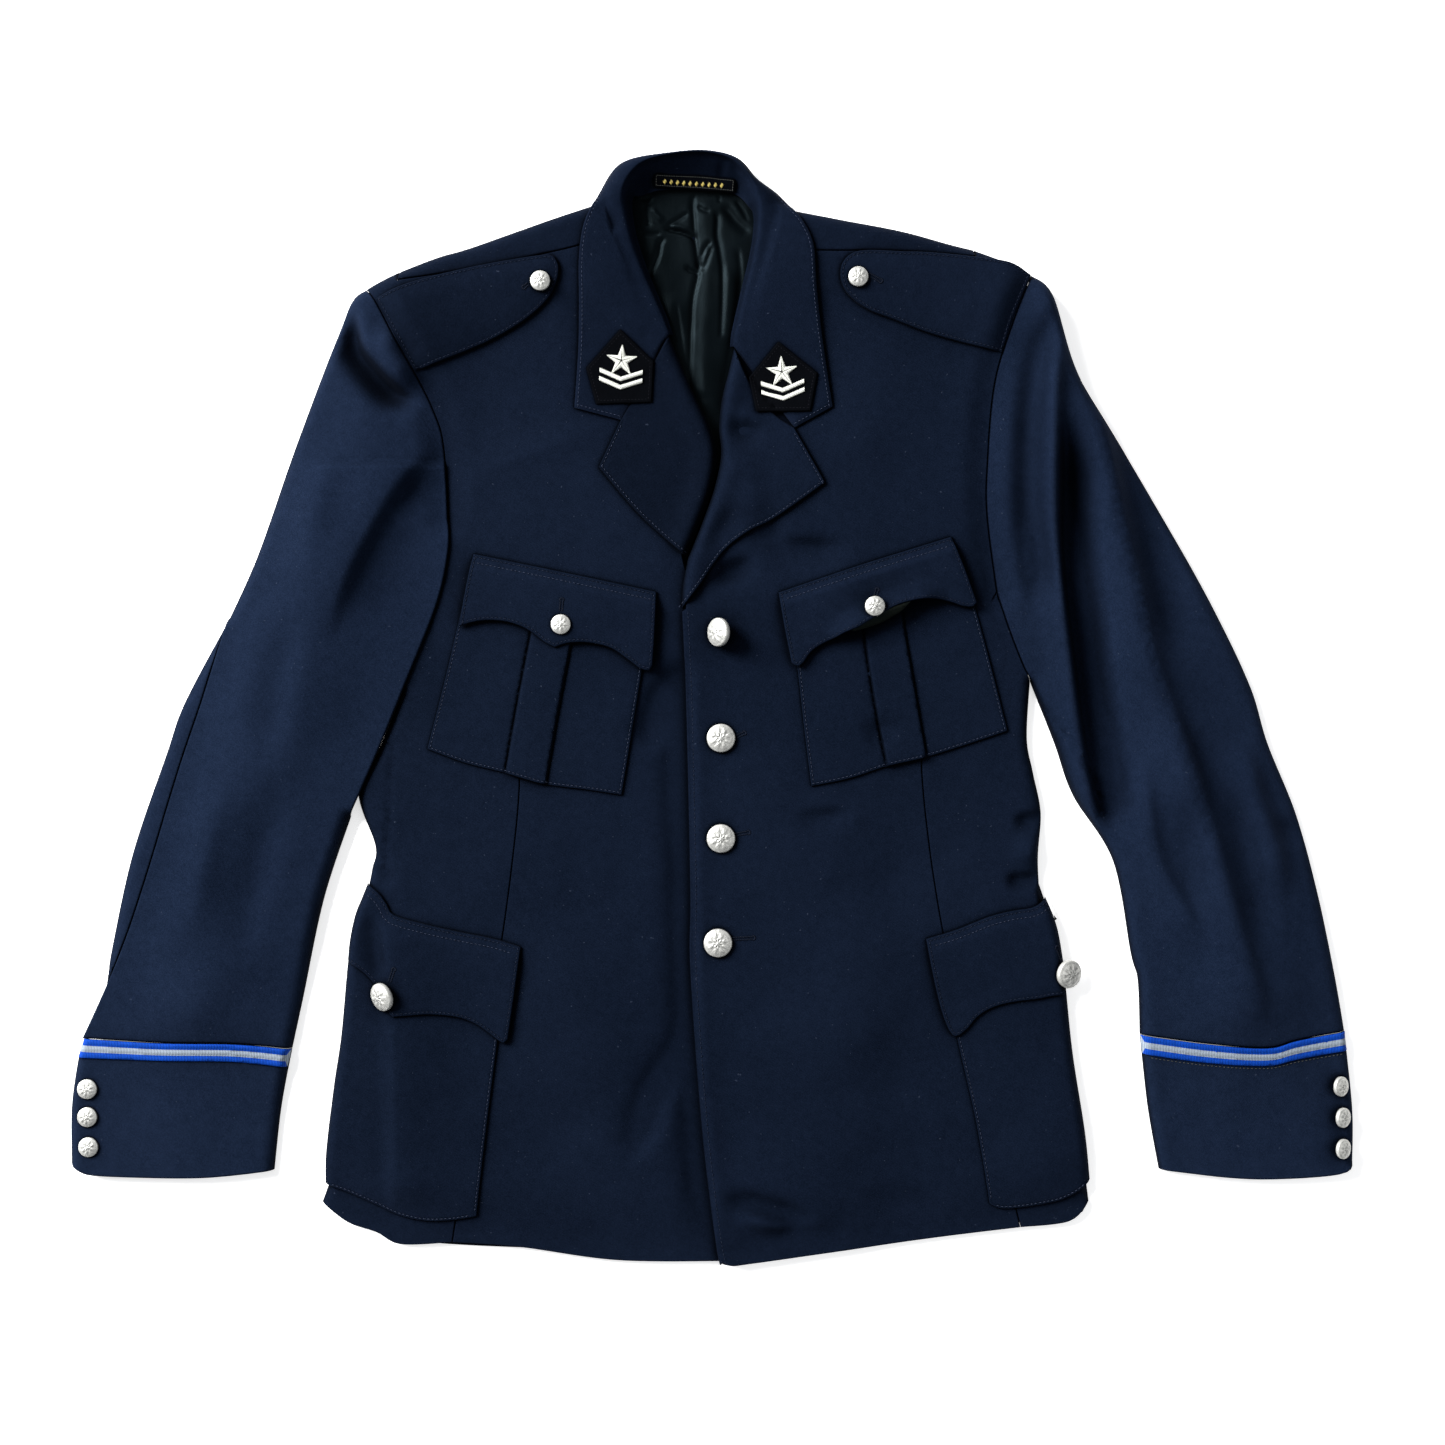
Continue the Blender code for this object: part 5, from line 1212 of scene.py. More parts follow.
def make_back():
    right, left = curve(SHOULDER_RIGHT), curve(SHOULDER_LEFT)
    side_right = moved(body_side(WAIST_RIGHT, HIP_SIDE_RIGHT, HEM_CORNER_RIGHT, 1), FOLD_SET_BACK)[:-1]
    side_left = moved(body_side(WAIST_LEFT, HIP_SIDE_LEFT, HEM_CORNER_LEFT, -1), -FOLD_SET_BACK)[:-1]
    ring = joined(curve(NECKLINE), left, curve(BACK_TIP_LEFT), curve(BACK_ARMHOLE_LEFT),
                  place(UNDERARM_CLEAR_BACK),
                  side_left, curve(BACK_HEM)[::-1], side_right[::-1], curve(BACK_ARMHOLE_RIGHT)[::-1],
                  curve(BACK_TIP_RIGHT)[::-1], right[::-1], gap=1.2)
    seam = curve(CENTRE_BACK_SEAM)

    def low(x, y):
        far = distance(x, y, seam)
        return 0.05 + 0.9 * hill(far, 1.4)

    parts = [shell(ring, level(BACK_WALL), BACK_WALL, 7.0, [seam, moved(seam, 1.5), moved(seam, -1.5)],
                   bottom=low)]
    strips = []
    for edge, seam_line in ((right, curve(SHOULDER_SEAM_RIGHT)), (left, curve(SHOULDER_SEAM_LEFT))):
        strip = joined(edge, np.vstack((edge[-1:], seam_line[-1:])), seam_line[::-1],
                       np.vstack((seam_line[:1], edge[:1])))
        strips.append(strip)
        top = turned_down(plus(upper, FRONT_WALL), [edge])
        parts.append(shell(strip, top, FRONT_WALL, BIG_SPACING))
    # The back takes the right strap's darker copy of the twill, with its painted shade
    piece = make_piece("twill_back", parts, TWILL["strap right"], ["back", "shoulder_right", "shoulder_left"])
    declare([ring] + strips)
    return piece


def make_body():
    armhole, tip = curve(ARMHOLE_RIGHT), curve(SHOULDER_TIP_RIGHT)
    roll = moved(curve(ROLL_RIGHT), -FOLD_SET_BACK)
    turn = place(LAPEL_TURN)
    neck = curve(NECK_FRONT_RIGHT)
    ring = joined(curve(SHOULDER_SEAM_RIGHT), place([SHOULDER_SEAM_RIGHT[-1], SHOULDER_RIGHT[-1]]), tip,
                  armhole,
                  curve(ARMHOLE_RIGHT_HIDDEN), curve(SIDE_SEAM_RIGHT), curve(HEM_FRONT_RIGHT),
                  curve(FRONT_EDGE_RIGHT_HIDDEN), turn, roll[::-1], neck[::-1])
    top = turned_down(plus(upper, FRONT_WALL), [tip])
    parts = [shell(ring, top, FRONT_WALL, round_edge=0.5), dart_end(DART_END_RIGHT, top)]
    piece = make_piece("twill_front_right", parts, TWILL["body"], ["front_right"])
    declare([ring])

    armhole, tip = curve(ARMHOLE_LEFT), curve(SHOULDER_TIP_LEFT)
    roll = moved(np.vstack((curve(ROLL_LEFT), curve(ROLL_LEFT_EDGE)[1:])), FOLD_SET_BACK)
    neck, edge = curve(NECK_FRONT_LEFT), curve(FRONT_EDGE_LEFT)
    ring = joined(curve(SHOULDER_SEAM_LEFT), place([SHOULDER_SEAM_LEFT[-1], SHOULDER_LEFT[-1]]), tip, armhole,
                  curve(SIDE_SEAM_LEFT), curve(HEM_FRONT_LEFT)[::-1], edge[::-1], roll[::-1], neck)
    top = turned_down(plus(upper, lap, front_edge_lift, FRONT_WALL), [tip])
    parts = [shell(ring, top, FRONT_WALL, round_edge=0.5), dart_end(DART_END_LEFT, top)]
    piece = make_piece("twill_front_left", parts, TWILL["body"], ["front_left"])
    declare([ring])
    FAINT.append(stitch_along(moved(edge, FRONT_STITCH_IN), top))

    side = body_side(WAIST_RIGHT, HIP_SIDE_RIGHT, HEM_CORNER_RIGHT, 1)
    ring = joined(curve(UNDERARM_RIGHT), side, curve(HEM_SIDE_RIGHT), curve(SIDE_SEAM_RIGHT)[::-1])
    seam = curve(SIDE_SEAM_BACK_RIGHT)
    top = turned_down(plus(upper, FRONT_WALL, seam_dip(seam)), [side])
    under = turned_down(plus(upper, 0.9), [side])
    parts = [shell(ring, top, FRONT_WALL, lines=[seam], round_edge=0.5),
             allowance(curve(UNDER_THE_SLEEVE), under, 1.2)]
    piece = make_piece("twill_side_right", parts, TWILL["body"], ["side_panel_right"])
    declare([ring], turned=fold_area([side]))
    side = body_side(WAIST_LEFT, HIP_SIDE_LEFT, HEM_CORNER_LEFT, -1)
    ring = joined(curve(UNDERARM_LEFT), side, curve(HEM_SIDE_LEFT)[::-1], curve(SIDE_SEAM_LEFT)[::-1])
    top = turned_down(plus(upper, lap, FRONT_WALL), [side])
    under = turned_down(plus(upper, lap, 0.9), [side])
    parts = [shell(ring, top, FRONT_WALL, round_edge=0.5), allowance(curve(SIDE_SEAM_LEFT), under),
             allowance(np.vstack((curve(ARMHOLE_LEFT)[6:], curve(UNDERARM_LEFT))), under)]
    piece = make_piece("twill_side_left", parts, TWILL["body"], ["side_panel_left"])
    declare([ring], turned=fold_area([side]))


def allowance(line, top, reach=3.0):
    """The seam allowance under a seam, pressed open to both sides."""
    line = line[2:-2]
    return shell(joined(moved(line, reach), moved(line, -reach)[::-1]), top, 0.5, BIG_SPACING, round_edge=0.1)


def dart_end(points, top):
    """Cloth over the seam above the pocket, where the dart has ended; it sinks in along its rim."""
    ring = joined(curve(points + points[:1]), gap=0.0)

    def height(x, y):
        return top(x, y) - 0.5 + 0.75 * ease(distance(x, y, closed(ring)) / 7.0)

    return shell(ring, height, 0.7, BIG_SPACING, round_edge=0.1)


def seam_dip(line, depth=0.9, width=0.8):
    """A pressed seam inside a piece."""
    return lambda x, y: -depth * hill(distance(x, y, line), width)


def lining_height(x, y):
    edge = distance(x, y, closed(LINING_RING))
    free = ease(edge / 26.0)
    height = BACK_WALL + GAP + LINING_WALL + 2.4 * hill(place((0, 178))[0, 1] - y, 12.0)
    return height + free * (1.3 + folds_of(x, y, LINING_FOLD_LINES) + 0.5 * waves(x, y, 17.0, 21.0))


def make_neck():
    top = lining_height
    piece = make_piece("satin_lining", [shell(LINING_RING, top, LINING_WALL, 1.5)], SATIN, ["neck_lining"])
    declare([LINING_RING])

    roll = curve(ROLL_RIGHT)
    edge = curve(LAPEL_EDGE_RIGHT[:2]), curve(LAPEL_EDGE_RIGHT[1:])
    ring = joined(roll, edge[1][::-1], edge[0][::-1], curve(GORGE_RIGHT)[::-1])
    top = rolled(plus(on_front, LAPEL_WALL), upper, roll)
    outer = np.vstack(edge)
    piece = make_piece("twill_lapel_right",
                       [shell(ring, top, LAPEL_WALL, SMALL_SPACING, stitched=[(outer, LAPEL_STITCH_IN)])],
                       TWILL["lapel right"], ["lapel_right"])
    declare([ring])
    for line in (moved(edge[0], LAPEL_STITCH_IN)[1:], moved(edge[1], LAPEL_STITCH_IN)):
        STITCHES.append(stitch_along(line, top))
    roll = np.vstack((curve(ROLL_LEFT), curve(ROLL_LEFT_EDGE)[1:]))
    edge = curve(LAPEL_EDGE_LEFT[:2]), curve(LAPEL_EDGE_LEFT[1:])
    ring = joined(roll, edge[1][::-1], edge[0][::-1], curve(GORGE_LEFT)[::-1])
    top = rolled(plus(on_left, LAPEL_WALL, left_lapel_folds), plus(upper, lap), roll)
    outer = np.vstack(edge)
    piece = make_piece("twill_lapel_left",
                       [shell(ring, top, LAPEL_WALL, SMALL_SPACING, stitched=[(outer, LAPEL_STITCH_IN)])],
                       TWILL["lapel left"], ["lapel_left"])
    declare([ring])
    for line in (moved(edge[0], -LAPEL_STITCH_IN)[1:], moved(edge[1], -LAPEL_STITCH_IN)):
        STITCHES.append(stitch_along(line, top))


def make_label():
    """The bare woven label, sewn to the collar's stand and the lining below it."""
    ring = outline(LABEL_EDGE, 0.0)

    def top(x, y):
        low = surfaces(x, y)
        for _ in range(2):
            near = np.hypot(x[:, None] - x[None, :], y[:, None] - y[None, :]) < 3.0
            low = np.where(near, low[None, :], -1.0).max(axis=1) * 0.5 + (near @ low) / near.sum(axis=1) * 0.5
        return low + LABEL_WALL + 0.35

    part = shell(ring, top, LABEL_WALL, 1.6, round_edge=0.5, rims=(0.3, 0.8, 1.6))
    piece = make_piece("woven_label", [part], FELT, ["label"])
    declare([ring])

    GREY.append(stitch_along(closed(inset(ring, LABEL_STITCH_IN)), surfaces, size=LABEL_STITCH))
    for spot in spaced(curve(LABEL_MIDDLE, 6.4), DIAMOND_STEP)[0]:
        corners = spot + np.array(DIAMOND)
        z = surfaces(corners[:, 0], corners[:, 1]) + 0.1
        a, b, c, d = np.column_stack((corners, z))
        GOLD.append(satin([a, b], [d, c], 5, 0.26, 0.15))


def left_lapel_folds(x, y):
    return folds_of(x, y, LEFT_LAPEL_LINES)


def rolled(full, low, roll, radius=6.5, swell=2.2):
    """A lapel that turns over at its roll line in a soft round fold."""
    def value(x, y):
        near = distance(x, y, roll)
        high = full(x, y) + swell * hill(near - 7.0, 9.0)
        share = rounded(near, radius)
        base = low(x, y) + 0.4
        return base + (high - base) * share
    return value


def catmull(rows, per):
    """Rows of numbers made finer along a soft curve; the first and last spans stay straight."""
    rows = np.array(rows, float)
    inner = rows[1:-1]
    knots = np.vstack((inner[:1], inner, inner[-1:]))
    t = (np.arange(0, per) / per).reshape((-1,) + (1,) * (rows.ndim - 1))
    parts = [rows[0] + (rows[1] - rows[0]) * t]
    for a, b, c, d in zip(knots, knots[1:], knots[2:], knots[3:]):
        parts.append(cubic(a, b, c, d, t))
    t = (np.arange(0, per + 1) / per).reshape((-1,) + (1,) * (rows.ndim - 1))
    parts.append(rows[-2] + (rows[-1] - rows[-2]) * t)
    return np.concatenate(parts)


def make_collar():
    """The folded collar, standing at the back of the neck and lying on the fronts at its ends."""
    stations = np.array([[tuple(place(p[:2])[0]) + (p[2],) for p in station] for station in COLLAR])
    stations = catmull(stations, COLLAR_FINE)
    rows = []
    for seam, fold, edge in stations:
        t = np.arange(COLLAR_IN) / COLLAR_IN
        spots = seam + (fold - seam) * t[:, None]
        stand = ease((np.linalg.norm(fold[:2] - seam[:2]) - 9.0) / 6.0)
        rise = np.sin(t * math.pi / 2) * (1.0 - stand) + ease((t - 0.42) / 0.58) * stand
        spots[:, 2] = seam[2] + (fold[2] - seam[2]) * rise
        t = np.linspace(0.0, 1.0, COLLAR_OUT + 1)
        tail = fold + (edge - fold) * t[:, None]
        tail[:, 2] = fold[2] + (edge[2] - fold[2]) * (1.0 - np.sqrt(np.maximum(0.0, 1.0 - t ** 2)))
        rows.append(np.vstack((spots, tail)))
    grid = np.array(rows)
    shape = grid.shape[:2]
    floor = surfaces(grid[:, :, 0].ravel(), grid[:, :, 1].ravel()).reshape(shape)
    spread = floor
    for _ in range(2):
        wide = np.pad(spread, 1, mode="edge")
        spread = np.maximum.reduce([wide[1:-1, 1:-1], wide[:-2, 1:-1], wide[2:, 1:-1], wide[1:-1, :-2],
                                    wide[1:-1, 2:]])
    least = np.where(floor == 0.0, 1.4, spread + COLLAR_WALL + 0.35)
    z = np.maximum(grid[:, :, 2], least)
    x, y = grid[:, :, 0], grid[:, :, 1]
    for _ in range(14):
        wide = np.pad(z, 1, mode="edge")
        mean = (wide[:-2, 1:-1] + wide[2:, 1:-1] + wide[1:-1, :-2] + wide[1:-1, 2:]) / 4
        z = np.maximum(z + (mean - z) * 0.6, least)
    ripple = 0.4 * waves(x.ravel(), y.ravel(), 38.0, 40.0).reshape(shape)
    z = z + np.maximum(ripple, 0.0) + folds_of(x.ravel(), y.ravel(), COLLAR_FOLD_LINES).reshape(shape)
    z = np.maximum(z, least)
    flat_x, flat_y = x.ravel(), y.ravel()
    rim = np.vstack([grid[0, :, :2], grid[1:, -1, :2], grid[-1, -2::-1, :2]])
    rim_far = distance(flat_x, flat_y, rim).reshape(shape)
    share = 1.0 - rounded(rim_far, RIM_ROUND)
    top = z - COLLAR_WALL * 0.5 * share
    top -= 0.28 * hill(rim_far - 2.4, 0.6)
    low = np.maximum(z - COLLAR_WALL, 0.1)
    count = shape[0] * shape[1]
    points = np.vstack((np.column_stack((flat_x, flat_y, top.ravel())),
                        np.column_stack((flat_x, flat_y, low.ravel()))))
    index = np.arange(count).reshape(shape)
    a, b = index[:-1, :-1].ravel(), index[:-1, 1:].ravel()
    c, d = index[1:, 1:].ravel(), index[1:, :-1].ravel()
    up = np.vstack((np.column_stack((a, c, b)), np.column_stack((a, d, c))))
    votes = np.cross(points[up[:, 1]] - points[up[:, 0]], points[up[:, 2]] - points[up[:, 0]])[:, 2]
    if np.sum(votes) < 0:
        up = up[:, ::-1]
    edge = rim_of(up, count)
    sides = np.column_stack((edge[:, 1], edge[:, 0], edge[:, 0] + count, edge[:, 1] + count))
    piece = make_piece("twill_collar",
                       [(points, [up, up[:, ::-1] + count, sides], np.vstack((edge, edge + count)))],
                       TWILL["collar"], ["collar"])

    outer = grid[COLLAR_FINE:-COLLAR_FINE, -1, :2]
    ends = grid[:COLLAR_FINE + 1, -1, :2], grid[-COLLAR_FINE - 1:, -1, :2]
    fold = grid[:, shape[1] // 2, :2]
    for line in (ends[0], outer, ends[1]):
        rows = [moved(line, way) for way in (COLLAR_STITCH_IN, -COLLAR_STITCH_IN)]
        row = min(rows, key=lambda spots: distance(spots[:, 0], spots[:, 1], fold).mean())
        STITCHES.append(stitch_along(row, surfaces))


def make_sleeves():
    armhole = curve(ARMHOLE_RIGHT)
    over_line, inner = curve(SLEEVE_OVER_RIGHT), curve(SLEEVE_INNER_RIGHT)
    outer, seam = curve(SLEEVE_OUTER_RIGHT), curve(SLEEVE_SEAM_RIGHT)
    ring = joined(armhole, over_line, inner, curve(CUFF_LINE_RIGHT)[::-1], seam[::-1], outer[::-1])
    top = turned_down(plus(upper, over, FRONT_WALL), [inner, outer])
    piece = make_piece("twill_sleeve_right", [shell(ring, top, FRONT_WALL)], TWILL["sleeve right"],
                       ["top_sleeve_right"])
    declare([ring],
            turned=fold_area([inner, outer]))

    wrap = curve(SLEEVE_WRAP_RIGHT)
    strip = joined(wrap, seam[::-1])
    cuff = curve(CUFF_LINE_RIGHT)
    beside = moved(curve(WAIST_RIGHT), -FOLD_SET_BACK)
    high, low = place([(400, 692), (357, 800)])[:, 1]
    beside = beside[(beside[:, 1] < high) & (beside[:, 1] > low)]
    ring = joined(curve(BACK_ARMHOLE_RIGHT), beside, moved(inner, -FOLD_SET_BACK)[:-1], cuff[-2::-1],
                  wrap[::-1],
                  moved(outer, FOLD_SET_BACK)[1:][::-1], gap=1.0)
    top = turned_down(plus(upper, over, FRONT_WALL, -0.6), [wrap])
    piece = make_piece("twill_under_sleeve_right", [shell(ring, level(BACK_WALL), BACK_WALL, 7.0),
                                                    shell(strip, top, FRONT_WALL)], TWILL["sleeve right"],
                       ["under_sleeve_right"])
    declare([ring, strip])

    inner, outer = curve(SLEEVE_INNER_LEFT), curve(SLEEVE_OUTER_LEFT)
    ring = joined(curve(ARMHOLE_LEFT), curve(UNDERARM_LEFT), inner, curve(CUFF_LINE_LEFT), outer[::-1])
    seams = [curve(SLEEVE_SEAM_LEFT), curve(SLEEVE_UNDER_SEAM_LEFT)]
    top = turned_down(plus(upper, FRONT_WALL, seam_dip(seams[0]), seam_dip(seams[1], 1.3)), [inner, outer])
    piece = make_piece("twill_sleeve_left", [shell(ring, top, FRONT_WALL, lines=seams)], TWILL["sleeve left"],
                       ["top_sleeve_left"])
    declare([ring], turned=fold_area([inner, outer]))
    ring = joined(curve(BACK_ARMHOLE_LEFT), place(UNDERARM_CLEAR_SLEEVE), moved(inner, FOLD_SET_BACK)[:-1],
                  curve(CUFF_LINE_LEFT)[1:-1], moved(outer, -FOLD_SET_BACK)[1:-1][::-1], gap=1.0)
    piece = make_piece("twill_under_sleeve_left", [shell(ring, level(BACK_WALL), BACK_WALL, 7.0)],
                       TWILL["sleeve left"], ["under_sleeve_left"])
    declare([ring])


def make_cuff(side, line, outer, end, inner, lower, nodes):
    outer, end, inner, line = curve(outer), curve(end), curve(inner), curve(line)
    ring = joined(outer, end, inner, line)
    top = turned_down(plus(upper, CUFF_WALL + GAP + 0.3), [outer, inner])
    floor_ring = inset(ring, 1.4)
    piece = make_piece("twill_cuff_" + side, [shell(ring, top, CUFF_WALL, 2.8),
                                              shell(floor_ring, level(BACK_WALL), BACK_WALL, 7.0)],
                       TWILL["sleeve " + side], [nodes[0]])
    declare_tube(piece, ring, floor_ring)
    lower = curve(lower)
    GREY.append(stitch_along(moved(lower, BRAID_STITCH_IN)[2:-2], top, 0.0, BRAID_STITCH))
    ring = joined(line, lower)

    def ribs(x, y):
        low_far = distance(x, y, lower)
        high_far = distance(x, y, line)
        share = low_far / np.maximum(low_far + high_far, 0.01)
        bands = np.abs((share * 3.0) % 1.0 - 0.5) * 2.0
        return 0.75 * np.sqrt(np.maximum(0.0, 1.0 - bands ** 3))

    top = turned_down(plus(upper, CUFF_WALL + GAP * 2 + 0.5, ribs), [outer, inner], 1.4, 6.0)
    bounds = []
    if math.dist(lower[0], line[0]) > math.dist(lower[0], line[-1]):
        line = line[::-1]
    for share in (1 / 3, 2 / 3):
        a, b = resampled(lower, 90), resampled(line, 90)
        bounds.append(a + (b - a) * share)
    part = shell(ring, top, BRAID_WALL + 0.3, 1.3, lines=bounds, rims=(0.3, 0.8, 1.4), round_edge=0.8)
    piece = make_piece("braid_tape_" + side, [part], CORDS["blue braid " + side], [nodes[1]])
    piece.data.materials.append(CORDS["silver braid " + side])
    spots = part[0]
    low_far, high_far = distance(spots[:, 0], spots[:, 1], lower), distance(spots[:, 0], spots[:, 1], line)
    share = low_far / (low_far + high_far)
    for polygon in piece.data.polygons:
        middle = np.mean(share[list(polygon.vertices)])
        if 1 / 3 < middle < 2 / 3:
            polygon.material_index = 1
    declare([ring])
    return top


def resampled(line, count):
    reach = np.concatenate(([0.0], np.cumsum(np.linalg.norm(np.diff(line, axis=0), axis=1))))
    spots = np.linspace(0.0, reach[-1], count)
    return np.column_stack((np.interp(spots, reach, line[:, 0]), np.interp(spots, reach, line[:, 1])))


def pleated(pleat):
    """The box pleat stands above the pocket, with a crisp step at both folds."""
    left, right = pleat

    def value(x, y):
        a = nearest(x, y, left)
        b = nearest(x, y, right)
        into = np.minimum(-a[0] * a[2], b[0] * b[2])
        return PLEAT_TOP * ease((into + 0.2) / 1.0) - 0.9 * hill(into + 0.5, 0.4)
    return value


def make_pockets():
    for side, edge, base in (("right", STRAP_RIGHT, on_front), ("left", STRAP_LEFT, on_left)):
        ring = outline(edge)
        end = curve(edge[2 if side == "right" else 0])
        top = plus(base, STRAP_WALL, strap_swell(ring, end))
        lines = [(closed(ring), EDGE_STITCH_IN)]
        piece = make_piece("twill_strap_" + side,
                           [shell(ring, top, STRAP_WALL, SMALL_SPACING, stitched=lines)],
                           TWILL["strap " + side], ["strap_" + side])
        declare([ring])
        FAINT.append(stitch_along(closed(inset(ring, EDGE_STITCH_IN)), top))

    rows = (("right", CHEST_POCKET_RIGHT, PLEAT_LINES_RIGHT, on_front),
            ("left", CHEST_POCKET_LEFT, PLEAT_LINES_LEFT, on_left))
    for side, edge, pleat, base in rows:
        ring = outline(edge, 0.0)
        folds = [curve(line) for line in pleat]
        top = plus(base, POCKET_WALL, pleated(folds))
        lines = [moved(fold, shift) for fold in folds for shift in (-1.0, -0.5, 0.0, 0.5, 1.0)]
        piece = make_piece("twill_pocket_" + side, [shell(ring, top, POCKET_WALL, SMALL_SPACING, lines=lines,
                                                          stitched=[(closed(ring), POCKET_STITCH_IN)])],
                           TWILL["body"], ["chest_pocket_" + side])
        declare([ring])
        STITCHES.append(stitch_along(closed(inset(ring, POCKET_STITCH_IN)), top))

    rows = (("chest_flap_right", CHEST_FLAP_RIGHT, on_front, PLEAT_TOP, None, None),
            ("chest_flap_left", CHEST_FLAP_LEFT, on_left, PLEAT_TOP, curl, None),
            ("hip_flap_right", HIP_FLAP_RIGHT, on_front, 0.0, None, 4),
            ("hip_flap_left", HIP_FLAP_LEFT, on_left, 0.0, None, 1))
    for name, edge, base, pleat, extra, fold in rows:
        ring = outline(edge)
        sewn = curve(edge[0])
        rise = sewn_lift(sewn, POCKET_WALL + pleat + GAP)
        top = plus(base, FLAP_WALL, rise, extra or 0.0)
        if fold is not None:
            top = turned_down(top, [curve(edge[fold])], 1.6, 7.0)
        spacing = SMALL_SPACING if extra is None else 1.6
        parts = [shell(ring, top, FLAP_WALL, spacing, round_edge=1.5,
                       stitched=[(closed(ring), EDGE_STITCH_IN), (sewn, SEWN_STITCH_IN)])]
        if extra:
            parts.append(curled_underside(top))
        piece = make_piece("twill_" + name, parts, TWILL["body"], [name])
        if extra:
            piece.data.materials.append(FACING)
            for polygon in piece.data.polygons[-len(parts[1][1][0]) * 2 - len(parts[1][1][2]):]:
                polygon.material_index = 1
        declare([ring])
        STITCHES.append(stitch_along(inner_way(sewn, ring, SEWN_STITCH_IN), top))
        FAINT.append(stitch_along(closed(inset(ring, EDGE_STITCH_IN)), top))


def sewn_lift(line, lift, least=0.1):
    """The flap is sewn down along its top edge and rises over the pocket below it."""
    return lambda x, y: least + (lift - least) * ease((distance(x, y, line) - 1.5) / 10.0)


def strap_swell(ring, end):
    """The strap swells a little and is caught down in the armhole seam at its end."""
    return lambda x, y: (0.9 * ease(distance(x, y, closed(ring)) / 14.0)
                         - (STRAP_WALL - 0.3) * hill(distance(x, y, end), 7.0))


def inner_way(line, ring, distance_in):
    """The line moved to whichever side lies inside the ring."""
    for side in (1, -1):
        path = moved(line, distance_in * side)
        middle = path[len(path) // 2]
        if inside(middle[:1], middle[1:], ring)[0]:
            return path[2:-2]
    return line


def curl(x, y):
    """The middle of the left chest flap turns up over its button."""
    far, along, _, total = nearest(x, y, CURL_LINE)
    ends = ease(np.minimum(along, total - along) / 22.0)
    return CURL_RISE * ends * hill(far, 9.0)


def curled_underside(top):
    """The dark facing that shows below the turned-up edge."""
    ring = outline(CURL_UNDERSIDE, 0.0)
    crest = curve(CURL_LINE_POINTS)

    def height(x, y):
        x0, y0 = crest[:, 0], crest[:, 1]
        near = np.argmin(np.hypot(x[:, None] - x0[None, :], y[:, None] - y0[None, :]), axis=1)
        high = top(x0, y0)[near]
        return high - 0.6 - 0.55 * distance(x, y, crest)

    return shell(ring, height, 0.8, 1.4, rims=(0.3, 0.8), round_edge=0.6)


def make_hip_pockets():
    rows = (("right", HIP_SIDE_RIGHT, HIP_POCKET_RIGHT_REST, on_front),
            ("left", HIP_SIDE_LEFT, HIP_POCKET_LEFT_REST, on_left))
    for side, side_line, rest, base in rows:
        fold = curve(side_line)
        ring = joined(fold, *[curve(part) for part in rest])
        top = turned_down(plus(base, POCKET_WALL), [fold])
        lines = curve(rest[0]), curve(rest[1])
        edge = np.vstack(lines)
        piece = make_piece("twill_hip_pocket_" + side,
                           [shell(ring, top, POCKET_WALL, 2.6, stitched=[(edge, POCKET_STITCH_IN)])],
                           TWILL["body"], ["hip_pocket_" + side])
        declare([ring], turned=fold_area([fold]))
        for line in lines:
            STITCHES.append(stitch_along(inner_way(line, ring, POCKET_STITCH_IN), top))


def make_patch(side, edge, star_centre, turn):
    """A felt patch draped over collar and lapel, with a star over two chevron bars in silver thread."""
    ring = outline([[a, b] for a, b in zip(edge, edge[1:] + edge[:1])], 0.0)

    def height(x, y):
        raw = np.array([max(surface(a + i, b + j) for i in (-2.0, 0.0, 2.0) for j in (-2.0, 0.0, 2.0))
                        for a, b in zip(x, y)])
        return raw + PATCH_WALL + 0.1
    part = shell(ring, height, PATCH_WALL, 2.0, rims=(0.4, 1.0, 2.0), round_edge=0.8)
    piece = make_piece("felt_patch_" + side, [part], FELT, ["patch_" + side])
    declare([ring])

    def lifted(x, y, up):
        return np.array((x, y, surface(x, y) + up))

    centre = place(star_centre)[0]
    turn = math.radians(turn)

    def at(u, v, up=0.25):
        x = centre[0] + u * math.cos(turn) - v * math.sin(turn)
        y = centre[1] + u * math.sin(turn) + v * math.cos(turn)
        return lifted(x, y, up)

    threads = []
    tips, dips = ([(reach * math.sin(2 * math.pi * (k + ahead) / 5),
                    reach * math.cos(2 * math.pi * (k + ahead) / 5))
                   for k in range(5)] for reach, ahead in ((STAR_R, 0.0), (STAR_R * STAR_DIP, 0.5)))
    top = at(0.0, 5.0, 1.5)
    for k in range(5):
        tip = at(tips[k][0], tips[k][1] + 5.0, 0.4)
        ridge = [tip, top]
        for dip in (dips[k], dips[k - 1]):
            low = at(dip[0], dip[1] + 5.0, 0.3)
            threads += satin([tip, low], ridge, 15, 0.36, 0.12)
    for lower in (0.0, -6.0):
        for way in (-1, 1):
            a = [at(way * 0.1, -6.2 + lower, 0.35), at(way * 15.6, -0.4 + lower, 0.35)]
            b = [at(way * 0.1, -10.2 + lower, 0.35), at(way * 15.6, -4.4 + lower, 0.35)]
            threads += satin(a, b, 38, 0.33, 0.5)
    piece = make_piece("emblem_" + side, [gather(threads)], CORDS["silver thread"], sharp=False)
    BLACK_THREADS.append(stitch_along(closed(inset(ring, PATCH_STITCH_IN)), surfaces, 0.1, PATCH_STITCH))


